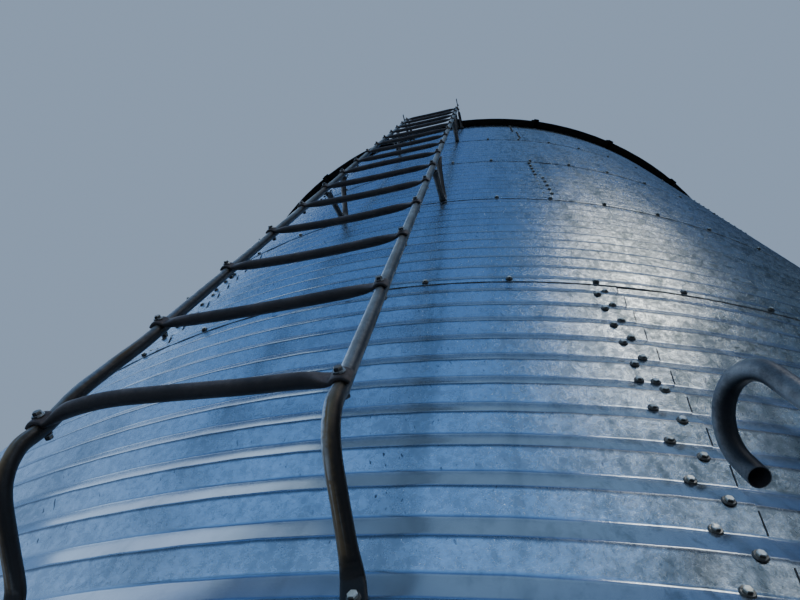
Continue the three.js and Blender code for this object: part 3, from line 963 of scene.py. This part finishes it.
def loop_at(point, along, side, flatness=0.0, radius=TUBE_RADIUS):
    normal = along.cross(side).normalized()
    across = normal.cross(along).normalized()
    half_width = radius + (FLAT_HALF_WIDTH - radius) * flatness
    half_depth = radius + (FLAT_HALF_THICKNESS - radius) * flatness
    power = 2 / (2 + FLAT_SQUARENESS * flatness)
    loop = []
    for index in range(TUBE_SIDES):
        angle = math.tau * (index + 0.5) / TUBE_SIDES
        c, s = math.cos(angle), math.sin(angle)
        loop.append(point + across * half_width * math.copysign(abs(c) ** power, c)
                    + normal * half_depth * math.copysign(abs(s) ** power, s))
    return loop


def direction_at(points, i):
    return (points[min(i + 1, len(points) - 1)] - points[max(i - 1, 0)]).normalized()


def route_loops(route, side):
    points = [point for point, _ in route]
    return [loop_at(point, direction_at(points, i), side, flatness)
            for i, (point, flatness) in enumerate(route)]


def stitch(loops, turned=False):
    """Vertices and faces of a closed body from a row of equal loops. The row has caps at
    its ends, unless it is turned about an axis and meets itself."""
    count, rows = len(loops[0]), len(loops)
    vertices = [p for loop in loops for p in loop]
    faces = []
    for row in range(rows if turned else rows - 1):
        here, there = row * count, (row + 1) % rows * count
        for i in range(count):
            j = (i + 1) % count
            faces.append((here + i, here + j, there + j, there + i))
    if not turned:
        faces.append(tuple(reversed(range(count))))
        faces.append(tuple(range(len(vertices) - count, len(vertices))))
    return vertices, faces


def solid(name, vertices, faces):
    """A closed piece. Its faces are turned round if it would be inside out."""
    volume = 0.0
    for face in faces:
        for b, c in zip(face[1:], face[2:]):
            volume += vertices[face[0]].dot(vertices[b].cross(vertices[c]))
    if volume <= 0:
        faces = [tuple(reversed(face)) for face in faces]
    piece = new_piece(name, vertices, faces)
    smooth(piece, TUBE_EDGE)
    return piece


def tube(name, route, side, cut, rounds=3):
    return solid(name, *stitch(route_loops(rounded(route, cut, rounds), side)))


# %% [markdown]
# ## Ladder
# Points on the ladder are given out from the axis, sideways and by height, as in the
# source. The rails end in a flat foot on a crest of the wall. Two pairs of braces, and
# struts at their heads, hold them off the wall. The right foot is bent a little outwards
# and the left rail bows beside the lowest rung, so a station may also move sideways.

# %% Ladder rails and braces
LADDER_OUT = outward(LADDER_AZIMUTH)
LADDER_SIDE = sideways(LADDER_AZIMUTH)
RAIL_TOP = 7.70
HALF_FACET = math.cos(math.radians(5))
TAB_CLEAR = 0.0003
TAB_STAND = FLAT_HALF_THICKNESS + TAB_CLEAR
FOOT_OUT = CREST_RADIUS * HALF_FACET + TAB_STAND
RAIL_INSIDE = RAIL_OUT - TUBE_RADIUS - TAB_STAND
SIDES = (("left", -1), ("right", 1))
RAIL_BOW = {"left": 0.009, "right": 0.0}
FOOT_TURN = {"left": 0.0, "right": 0.010}
FOOT_LEAN = {"left": -0.003, "right": 0.0}
BRACE_RINGS = {"lower": 4, "upper": 6}


def on_ladder(out, side, height):
    return LADDER_OUT * out + LADDER_SIDE * side + UP * height


def run(side, out, height, *stations):
    """Part of a route, as (out, up, flatness) from a corner and maybe a sideways move."""
    return [(on_ladder(out + away, side + sum(move), height + up), flat)
            for away, up, flat, *move in stations]


def ladder_rail(label, side):
    bow, turn, lean = RAIL_BOW[label], FOOT_TURN[label], FOOT_LEAN[label]
    route = (
        run(side, FOOT_OUT, FOOT_HEIGHT, (0, -0.038, 1, turn * 1.5),
            (0, 0.008, 1, turn * 0.6), (0.009, 0.028, 0.6, turn * 0.2 + lean),
            (0.030, 0.040, 0.1, lean * 1.2), (0.057, 0.050, 0, lean * 1.3),
            (0.101, 0.065, 0, lean), (0.144, 0.080, 0, lean * 0.5))
        + run(side, RAIL_OUT, FOOT_HEIGHT, (-0.013, 0.101, 0), (-0.003, 0.120, 0),
              (0.004, 0.142, 0), (0, 0.172, 0))
        + run(side, RAIL_OUT, FIRST_RUNG, (0, 0.020, 0), (bow, 0.090, 0),
              (bow * 0.7, 0.170, 0), (0, 0.300, 0))
        + run(side, RAIL_OUT, RAIL_TOP, (0, -0.034, 0), (0, -0.014, 1), (0, 0, 1)))
    dress(tube(f"rail_{label}", route, LADDER_SIDE, cut=0.02), "ladder_tube", LADDER_TUBE,
          f"ladder_rail_{label}")


def rung_height(number):
    return FIRST_RUNG + (number - 1) * RUNG_PITCH


def brace_rungs(seam):
    """The heights of the two rungs that a brace reaches from a ring seam."""
    above = math.ceil((seam - FIRST_RUNG) / RUNG_PITCH) + 1
    return rung_height(above - 1), rung_height(above)


def wall_brace(name, label, side):
    seam = BRACE_RINGS[name] * RING_HEIGHT
    lower, upper = brace_rungs(seam)
    half = FLAT_HALF_WIDTH
    route = (
        run(side, RAIL_INSIDE, lower, (0, -half, 1), (0, half, 1), (-0.030, 0.048, 0))
        + run(side, FOOT_OUT, seam, (0.030, -0.052, 0), (0, -0.026, 1), (0, 0.026, 1),
              (0.030, 0.058, 0))
        + run(side, RAIL_INSIDE, upper, (-0.030, -0.052, 0), (0, -half, 1), (0, half, 1)))
    dress(tube(f"{name}_brace_tube_{label}", route, LADDER_SIDE, cut=0.014), "ladder_tube",
          SHADED_BRACE_TUBE, f"{name}_brace_{label}")


for label, hand in SIDES:
    ladder_rail(label, hand * RAIL_HALF_SPACING)
    for name in BRACE_RINGS:
        wall_brace(name, label, hand * RAIL_HALF_SPACING)

# %% [markdown]
# ## Rungs
# A rung is a length of the same tube. Its ends are squeezed towards its outer side and
# beaten round the rails like a saddle, so the tube itself lies a little behind its tabs.
# One rung is built, and a tree repeats it on points up the ladder. Each point carries how
# far boots have bowed that rung towards the wall, and the tree bends the copy by a curve
# that is nought at the rails. The lowest rung is bent the other way, so it is built by
# itself.

# %% Rungs and the tree that repeats them up the ladder
@node_group(GEOMETRY, Points="Geometry", Rung="Object")
def rungs_up_the_ladder(start):
    tree = start.tree
    rung = add(tree, "GeometryNodeObjectInfo", {"Object": start["Rung"]})["Geometry"]
    bow = add(tree, "GeometryNodeInputNamedAttribute", {"Name": "bow"},
              data_type="FLOAT")
    place = add(tree, "GeometryNodeInputPosition")
    side = vector_calc("DOT_PRODUCT", place, tuple(LADDER_SIDE)) / RAIL_HALF_SPACING
    shape = calc("SUBTRACT", 1.0, side * side, clamp=True)
    bent = moved(copies_on(start["Points"], rung), scaled(tuple(-LADDER_OUT), shape * bow))
    return {"Geometry": bent}


RUNG_FLAT_OUT = RAIL_OUT + TUBE_RADIUS + TAB_STAND
RUNG_TAB_HALF = 0.0145
TAB_STEPS = (-1.0, -0.7, -0.35, 0.0, 0.35, 0.7, 1.0)


def rung_tube(name, height, middle):
    """From the left tab to the right one, with the given (side, out) points between."""
    def tab(hand):
        points = []
        for part in TAB_STEPS:
            across = RUNG_TAB_HALF * part
            out = RAIL_OUT + math.sqrt((RUNG_FLAT_OUT - RAIL_OUT) ** 2 - across ** 2)
            points.append((on_ladder(out, hand * RAIL_HALF_SPACING + across, height), 1.0))
        return points

    between = [(on_ladder(RUNG_FLAT_OUT + out, side, height), 0.0) for side, out in middle]
    return tube(name, tab(-1) + between + tab(1), UP, cut=0.02, rounds=2)


STRAIGHT_MIDDLE = [(side, FLAT_HALF_THICKNESS - TUBE_RADIUS)
                   for side in (-0.192, -0.06, 0.06, 0.192)]
BENT_MIDDLE = [(-0.198, 0.004), (-0.165, 0.010), (-0.110, 0.0145), (-0.030, 0.010),
               (0.040, 0.0053), (0.110, 0.0008), (0.170, -0.001), (0.195, -0.003)]
BOWS = (0.0040, 0.0065, 0.0083, 0.0055, 0.0020, -0.0045, 0.0010, 0.0030,
        0.0015, 0.0035, 0.0020, 0.0040, 0.0015, 0.0025)


def upper_rungs():
    pattern = rung_tube("rung_pattern", 0.0, STRAIGHT_MIDDLE)
    numbers = range(2, RUNG_COUNT + 1)
    rungs = new_piece("rungs", [UP * rung_height(n) for n in numbers])
    rungs.data.attributes.new("bow", "FLOAT", "POINT").data.foreach_set("value", BOWS)
    run_tree(rungs, rungs_up_the_ladder, Rung=pattern)
    bpy.data.objects.remove(pattern)
    smooth(rungs, TUBE_EDGE)
    dress(rungs, "rung_tube", SHADED_RUNG_TUBE, *[f"ladder_rung_{n:02d}" for n in numbers])


upper_rungs()
lowest = rung_tube("lowest_rung", rung_height(1), BENT_MIDDLE)
dress(lowest, "rung_tube", SHADED_RUNG_TUBE, "ladder_rung_01")

# %% [markdown]
# ## Roof
# The roof is a cone of flat panels. Each panel's left edge is folded up into a rib that
# sits over its neighbour's edge. One panel is built as a thin closed sheet between a
# section at the eave and one at the peak, and a tree sets all of them round.

# %% One roof panel with its rib, and the tree that sets it round
@node_group(GEOMETRY, Piece="Geometry")
def panels_round_the_axis(start):
    return {"Geometry": copies_round(start["Piece"], ROOF_PANELS)}


PANEL_ANGLE = 360 / ROOF_PANELS
PANEL_COS = math.cos(math.radians(PANEL_ANGLE / 2))
ROOF_RISE = math.tan(ROOF_SLOPE)
EAVE_REACH = EAVE_CORNER_RADIUS * PANEL_COS
EAVE_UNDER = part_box("roof_sector_1")[0].z
EAVE_DROP, BEND_DROP = 0.014, 0.002
EAVE_BEND, EAVE_LIP = 0.006, 0.002
ROOF_SKIN = 0.003
RIB_FOOT, RIB_HEIGHT = 0.050, 0.048
LAP_FLANGE = 0.022
PANEL_OVERLAP = 0.012
RIB_SHAPE = ((-0.47, 0.12), (-0.34, 0.85), (-0.27, 0.985), (0.27, 0.985), (0.34, 0.85),
             (0.47, 0.12))
PARTS_ACROSS_PAN = (0.0, 0.02, 0.2, 0.4, 0.5, 0.6, 0.8, 1.0)
PARTS_UP_PANEL = (0.03, 0.35, 0.7, 1.0)


def roof_under(reach):
    return EAVE_UNDER + (EAVE_REACH - reach) * ROOF_RISE


def panel_section(corner_radius, drop=0.0):
    """Points across a panel: the lap flange, the rib and the pan to the next rib."""
    rib = ROOF_RIB_AZIMUTH
    corner = around(rib, corner_radius, roof_under(corner_radius * PANEL_COS))
    left_way = sideways(rib - PANEL_ANGLE / 2)
    points = [corner - left_way * (RIB_FOOT / 2 + flange) + UP * (ROOF_SKIN - drop)
              for flange in (LAP_FLANGE, 0.0)]
    points += [corner + sideways(rib) * RIB_FOOT * side + UP * RIB_HEIGHT * up
               for side, up in RIB_SHAPE]
    pan_radius = corner_radius * EAVE_PAN_RADIUS / EAVE_CORNER_RADIUS
    first = math.degrees(RIB_FOOT / 2 / corner_radius)
    last = PANEL_ANGLE - first + math.degrees(PANEL_OVERLAP / corner_radius)
    for part in PARTS_ACROSS_PAN:
        turn = first + (last - first) * part
        reach = pan_radius * math.cos(math.radians(turn - PANEL_ANGLE / 2))
        points.append(around(rib + turn, pan_radius, roof_under(reach) - drop))
    return points


def roof_panel():
    """A sheet from the bent-down eave to the peak. Its section is too crooked for a single
    face, so a strip of faces between its upper and under side closes each end."""
    lip = outward(ROOF_RIB_AZIMUTH + PANEL_ANGLE / 2) * EAVE_LIP
    sections = [[p + lip for p in panel_section(EAVE_CORNER_RADIUS, EAVE_DROP)],
                panel_section(EAVE_CORNER_RADIUS - EAVE_BEND, BEND_DROP)]
    for part in PARTS_UP_PANEL:
        sections.append(panel_section(
            EAVE_CORNER_RADIUS + (PEAK_CORNER_RADIUS - EAVE_CORNER_RADIUS) * part))
    loops = [section + [p + UP * ROOF_SKIN for p in reversed(section)]
             for section in sections]
    vertices, faces = stitch(loops)
    count = len(loops[0])
    faces = faces[:-2]
    last = len(vertices) - count
    for near in range(count // 2 - 1):
        far = count - 1 - near
        faces.append((near + 1, near, far, far - 1))
        faces.append((last + near, last + near + 1, last + far - 1, last + far))
    return vertices, faces


roof = solid("roof_panels", *roof_panel())
run_tree(roof, panels_round_the_axis)
smooth(roof)
dress(roof, "galvanised_roof", ROOF_SHEET, *[f"roof_sector_{n}" for n in range(1, 7)])

# %% [markdown]
# ## Peak
# The fill opening is a rolled collar with a lid over it. Both are turned shapes, so a
# profile of radius and height is spun about the axis by a short loop. The rims get a
# few extra points, which round them as rolled sheet is.

# %% Collar and cap
TURN_STEPS = 72
COLLAR_RADIUS = 0.3797
COLLAR_INSIDE = COLLAR_RADIUS - 0.004
CAP_RADIUS = COLLAR_RADIUS + 0.014
CAP_INSIDE = CAP_RADIUS - 0.005
CAP_PINHOLE = 0.0004


def turned_piece(name, profile, node):
    """A closed profile of (radius, height) turned about the axis."""
    loops = [[around(360 * step / TURN_STEPS, radius, height) for radius, height in profile]
             for step in range(TURN_STEPS)]
    dress(solid(name, *stitch(loops, turned=True)), "galvanised_roof", ROOF_SHEET, node)


low, high = (corner.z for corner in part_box("peak_collar"))
turned_piece("fill_collar", [
    (COLLAR_RADIUS, low), (COLLAR_RADIUS, high - 0.012), (COLLAR_RADIUS + 0.003, high - 0.008),
    (COLLAR_RADIUS + 0.003, high - 0.003), (COLLAR_RADIUS, high), (COLLAR_INSIDE - 0.002, high),
    (COLLAR_INSIDE - 0.003, high - 0.004), (COLLAR_INSIDE, high - 0.010), (COLLAR_INSIDE, low),
], "peak_collar")

seat = high + 0.0003
skirt, top = (corner.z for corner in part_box("fill_cap"))
turned_piece("fill_lid", [
    (CAP_INSIDE, seat), (CAP_INSIDE, skirt + 0.003), (CAP_RADIUS - 0.003, skirt),
    (CAP_RADIUS + 0.003, skirt), (CAP_RADIUS + 0.004, skirt + 0.006),
    (CAP_RADIUS, skirt + 0.011), (CAP_RADIUS, seat + 0.004), (CAP_RADIUS - 0.004, seat + 0.010),
    (0.20, seat + 0.052), (0.075, top - 0.014), (0.045, top - 0.004), (0.040, top),
    (CAP_PINHOLE, top), (CAP_PINHOLE, seat),
], "fill_cap")

# %% [markdown]
# ## Struts at the rails' heads
# Two struts hold each rail's head to the wall under the eave, one on each side of the
# rail. Here the tube is squeezed on edge instead of flat, so the flattening is given in
# the other direction. The outer strut reaches past the rail and ends in a thin tip.

# %% Struts from the rails' heads to the wall
STRUT_FOOT = 7.732
STRUT_HEIGHT = 7.600
STRUT_OFFSET = TUBE_RADIUS + FLAT_HALF_THICKNESS + 2 * TAB_CLEAR
STRUT_REACH = {"inner_left": 0.020, "inner_right": 0.020,
               "outer_left": 0.062, "outer_right": 0.095}
STRUT_SIDES = (("inner", -1), ("outer", 1))


def top_strut(place, side):
    reach = STRUT_REACH[place]
    foot = (
        run(side, FOOT_OUT, STRUT_FOOT, (0, 0.020, 1), (0, -0.020, 1), (0.016, -0.044, 0),
            (0.048, -0.064, 0))
        + run(side, RAIL_OUT, STRUT_HEIGHT, (-0.050, 0.023, 0)))
    head = run(side, RAIL_OUT, STRUT_HEIGHT, (-0.036, 0.018, 0), (-0.018, 0.009, 1),
               (reach - 0.012, -0.008, 1), (reach, -0.010, 1))
    edge_side = LADDER_SIDE.cross((head[-1][0] - head[0][0]).normalized())
    quarter = TUBE_SIDES // 4
    on_edge = [loop[quarter:] + loop[:quarter] for loop in route_loops(head, edge_side)]
    loops = route_loops(rounded(foot, cut=0.012), LADDER_SIDE) + on_edge
    dress(solid(f"head_strut_{place}", *stitch(loops)), "ladder_tube", SHADED_BRACE_TUBE,
          f"top_strut_{place}")


for label, hand in SIDES:
    for name, inward in STRUT_SIDES:
        top_strut(f"{name}_{label}", hand * (RAIL_HALF_SPACING + inward * STRUT_OFFSET))

# %% [markdown]
# ## Bolts of the ladder
# A bolt goes through each rung's tab and the rail behind it, with the head outside and a
# nut inside. The feet of the rails and braces have one bolt each, and the struts have one
# at the foot and one through the rail's head.

# %% Bolt places on the ladder
FOOT_BOLT_BELOW = 0.009
TIP_BOLT_OUT, TIP_BOLT_BELOW = 0.038, 0.003


def rung_bolt_places():
    braced = [rung for ring in BRACE_RINGS.values()
              for rung in brace_rungs(ring * RING_HEIGHT)]
    heads, nuts = [], []
    for height in map(rung_height, range(1, RUNG_COUNT + 1)):
        inner = RAIL_INSIDE - FLAT_HALF_THICKNESS if height in braced else RAIL_OUT - TUBE_RADIUS
        for _, hand in SIDES:
            side = hand * RAIL_HALF_SPACING
            heads.append((on_ladder(RUNG_FLAT_OUT + FLAT_HALF_THICKNESS, side, height),
                          LADDER_OUT))
            nuts.append((on_ladder(inner, side, height), -LADDER_OUT))
    return heads, nuts


def foot_bolt_places():
    face = FOOT_OUT + FLAT_HALF_THICKNESS
    feet = []
    for label, hand in SIDES:
        side = hand * RAIL_HALF_SPACING
        feet.append((on_ladder(face, side + FOOT_TURN[label], FOOT_HEIGHT - FOOT_BOLT_BELOW),
                     LADDER_OUT))
        feet += [(on_ladder(face, side, ring * RING_HEIGHT), LADDER_OUT)
                 for ring in BRACE_RINGS.values()]
    for _, hand in SIDES:
        for _, inward in STRUT_SIDES:
            side = hand * (RAIL_HALF_SPACING + inward * STRUT_OFFSET)
            way = LADDER_SIDE * hand * inward
            feet.append((on_ladder(face, side, STRUT_FOOT), LADDER_OUT))
            feet.append((on_ladder(RAIL_OUT, side, STRUT_HEIGHT) + way * FLAT_HALF_THICKNESS,
                         way))
    outer = RAIL_HALF_SPACING + STRUT_OFFSET + FLAT_HALF_THICKNESS
    feet.append((on_ladder(RAIL_OUT + TIP_BOLT_OUT, outer, STRUT_HEIGHT - TIP_BOLT_BELOW),
                 LADDER_SIDE))
    return feet


heads, nuts = rung_bolt_places()
bolts("ladder_bolt_heads", heads, "ladder_tube", BOLT_DULL, Across_flats=0.0122,
      Head_height=0.0055, Washer_radius=0.0102, Seed=3)
bolts("ladder_nuts", nuts, "ladder_tube", BOLT_DULL, Across_flats=0.0120,
      Head_height=0.0065, Washer_radius=0.0080, Seed=5)
bolts("ladder_foot_bolts", foot_bolt_places(), "ladder_tube", Across_flats=0.0122,
      Head_height=0.0055, Washer_radius=0.0100, Seed=6)

# %% [markdown]
# ## Vent pipe
# The vent is a smaller job for the same tube helper, with an open mouth. The bore is made
# by turning the row of loops back into the mouth, so one closed body has a real hole.
# The mouth is sawn off a little aslant, so it looks down and away from the wall. The
# bore's faces take the black finish, because no light reaches into the real pipe.

# %% Vent pipe
VENT_RADIUS = 0.0142
VENT_BORE = 0.0130
VENT_BORE_DEPTH = 0.11
VENT_LIP = 0.0005
VENT_AZIMUTH = 8.7
VENT_OUT, VENT_SIDE = outward(VENT_AZIMUTH), sideways(VENT_AZIMUTH)
VENT_UP = Matrix.Rotation(math.radians(15.2), 3, VENT_OUT) @ UP
VENT_BEND = 0.061
VENT_BEND_STEPS = 20
VENT_MOUTH = 0.028
VENT_ARM = 0.250
VENT_MOUTH_FACES = Vector((-0.37, -0.57, -0.74))
VENT_MOUTH_SLANT = math.tan(math.radians(16))


def vent_at(out, up):
    return VENT_CENTRE + VENT_OUT * out + VENT_UP * up


def vent_route():
    turns = [math.pi * i / VENT_BEND_STEPS for i in range(VENT_BEND_STEPS + 1)]
    bend = [vent_at(-VENT_BEND * math.cos(turn), VENT_BEND * math.sin(turn))
            for turn in turns]
    elbow = vent_at(VENT_BEND, -VENT_ARM)
    below = elbow - UP * 0.060 + VENT_SIDE * 0.006
    return [vent_at(-VENT_BEND, -VENT_MOUTH)] + bend + [
        elbow.lerp(vent_at(VENT_BEND, -VENT_ARM + 0.06), 0.6), elbow,
        elbow.lerp(below, 0.5) + VENT_SIDE * 0.004, below,
        below - UP * 0.03, Vector((below.x, below.y, 0.0))]


def vent_ring(point, along, radius):
    side = (VENT_SIDE - along * VENT_SIDE.dot(along)).normalized()
    return loop_at(point, along, side, radius=radius)


def vent_pipe():
    route = vent_route()
    ways = [direction_at(route, i) for i in range(len(route) - 1)] + [-UP]
    mouth, way = route[0], ways[0]
    low = (VENT_MOUTH_FACES - way * way.dot(VENT_MOUTH_FACES)).normalized()

    def slanted(radius):
        return [point + way * VENT_MOUTH_SLANT * (point - mouth).dot(low)
                for point in vent_ring(mouth, way, radius)]

    outside = [vent_ring(point, along, VENT_RADIUS) for point, along in zip(route, ways)]
    outside[0] = slanted(VENT_RADIUS)
    bore, travelled = [], 0.0
    for before, point, along in zip(route, route[1:], ways[1:]):
        travelled += (point - before).length
        if travelled > VENT_BORE_DEPTH:
            break
        bore.append(vent_ring(point, along, VENT_BORE))
    lip = [slanted(VENT_BORE), slanted(VENT_RADIUS - VENT_LIP)]
    vertices, faces = stitch(bore[::-1] + lip + outside)
    piece = dress(solid("vent_bent_pipe", vertices, faces), "vent_steel", VENT_TUBE,
                  "vent_pipe")
    piece.data.materials.append(MASTIC_AND_SHADE)
    for index in [*range(len(bore) * TUBE_SIDES), len(faces) - 2]:
        piece.data.polygons[index].material_index = 1


vent_pipe()

# %% [markdown]
# ## Pieces that keep their solids
# The brackets of the vent and the floor have the right shape already. They only get
# their finish, by assigning it to their own material slots.

# %% Finishes on the kept solids
for name, material in (("vent_bracket_1", VENT_TUBE), ("vent_bracket_2", VENT_TUBE),
                       ("floor_plate", FLOOR_STEEL)):
    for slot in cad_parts[name].material_slots:
        slot.material = material

# %% [markdown]
# ## Studio
# A pale floor and a plain surround, pale at the horizon and blue overhead, give the zinc
# something to mirror. Metal shows only what it reflects, so soft lamps stand where parts
# of the wall mirror them: two at the right, high and low, and one at the left. A weaker
# one lights the back. The surround is darker on the right, which keeps the tubes' right
# sides dark, and pale behind the left, which draws a light edge along them.

# %% Floor, surround and lamps
FLOOR_HALF, FLOOR_LOW = 60.0, -0.002
SURROUND_COLOURS = [
    (0, (0.42, 0.58, 0.80)), (12, (0.24, 0.49, 0.94)), (24, (0.19, 0.43, 0.88)),
    (42, (0.085, 0.24, 0.56)), (52, (0.034, 0.11, 0.35)), (80, (0.20, 0.33, 0.50)),
]
DARK_SIDE = (0.042, 0.056, 0.070)
PALE_SIDE = (0.44, 0.58, 0.80)
PALE_BACK = (1.45, 1.55, 1.68)
BACKDROP = (0.27, 0.36, 0.50)


def studio_floor():
    half = FLOOR_HALF
    corners = [(x, y, FLOOR_LOW) for x, y in
               ((-half, -half), (half, -half), (half, half), (-half, half))]
    floor = new_piece("studio_floor", corners, [(0, 1, 2, 3)])
    paint = Finish("pale_floor")
    paint.colour = mixed(noise(paint.place, 0.6), (0.70, 0.70, 0.69), (0.76, 0.76, 0.75))
    floor.data.materials.append(paint.done(0.8))


def surround():
    world = bpy.data.worlds.new("soft_surround")
    bpy.context.scene.world = world
    world.use_nodes = True
    tree = world.node_tree
    tree.nodes.clear()
    way = axes(add(tree, "ShaderNodeTexCoord")["Generated"])
    colour = SURROUND_COLOURS[0][1]
    for (low, _), (top, above) in zip(SURROUND_COLOURS, SURROUND_COLOURS[1:]):
        part = ramp(way["Z"], math.sin(math.radians(low)), math.sin(math.radians(top)))
        colour = mixed(part, colour, above)
    colour = mixed(ramp(way["X"], 0.32, 0.72, 0.0, 0.9), colour, DARK_SIDE)
    colour = mixed(ramp(way["X"], -0.95, -0.6, 0.6, 0.0), colour, PALE_SIDE)
    behind = ramp(way["Y"], 0.30, 0.60, 0.0, 0.9) * ramp(way["X"], 0.10, -0.25)
    colour = mixed(behind, colour, PALE_BACK)
    seen = add(tree, "ShaderNodeLightPath")["Is Camera Ray"]
    back = add(tree, "ShaderNodeBackground", {"Color": mixed(seen, colour, BACKDROP)})
    add(tree, "ShaderNodeOutputWorld", {"Surface": back})


def lamp(name, place, target, size, brightness, colour):
    """A soft lamp whose face has the given brightness, whatever its size."""
    data = bpy.data.lights.new(name, "AREA")
    data.shape = "RECTANGLE"
    data.size, data.size_y = size
    data.energy = brightness * math.pi * size[0] * size[1]
    data.color = colour
    light = bpy.data.objects.new(name, data)
    light.location = place
    light.rotation_mode = "QUATERNION"
    light.rotation_quaternion = (Vector(target) - Vector(place)).to_track_quat("-Z", "Y")
    bpy.context.scene.collection.objects.link(light)


studio_floor()
surround()
lamp("right_lamp", (5.0, -10.5, 11.2), (0.5, -2.7, 3.8), (2.9, 2.3), 6.0, (1.0, 1.0, 0.93))
lamp("low_lamp", (6.1, -11.8, 3.9), (0.25, -2.7, 2.25), (4.0, 3.0), 1.1, (1.0, 1.0, 0.96))
lamp("left_lamp", (-6.9, -1.9, 12.7), (-0.6, -2.7, 2.6), (6.4, 6.4), 0.85, (0.70, 0.87, 1.0))
lamp("back_lamp", (3, 16, 12), (0, 2.7, 4), (9, 7), 1.2, (1.0, 1.0, 0.98))
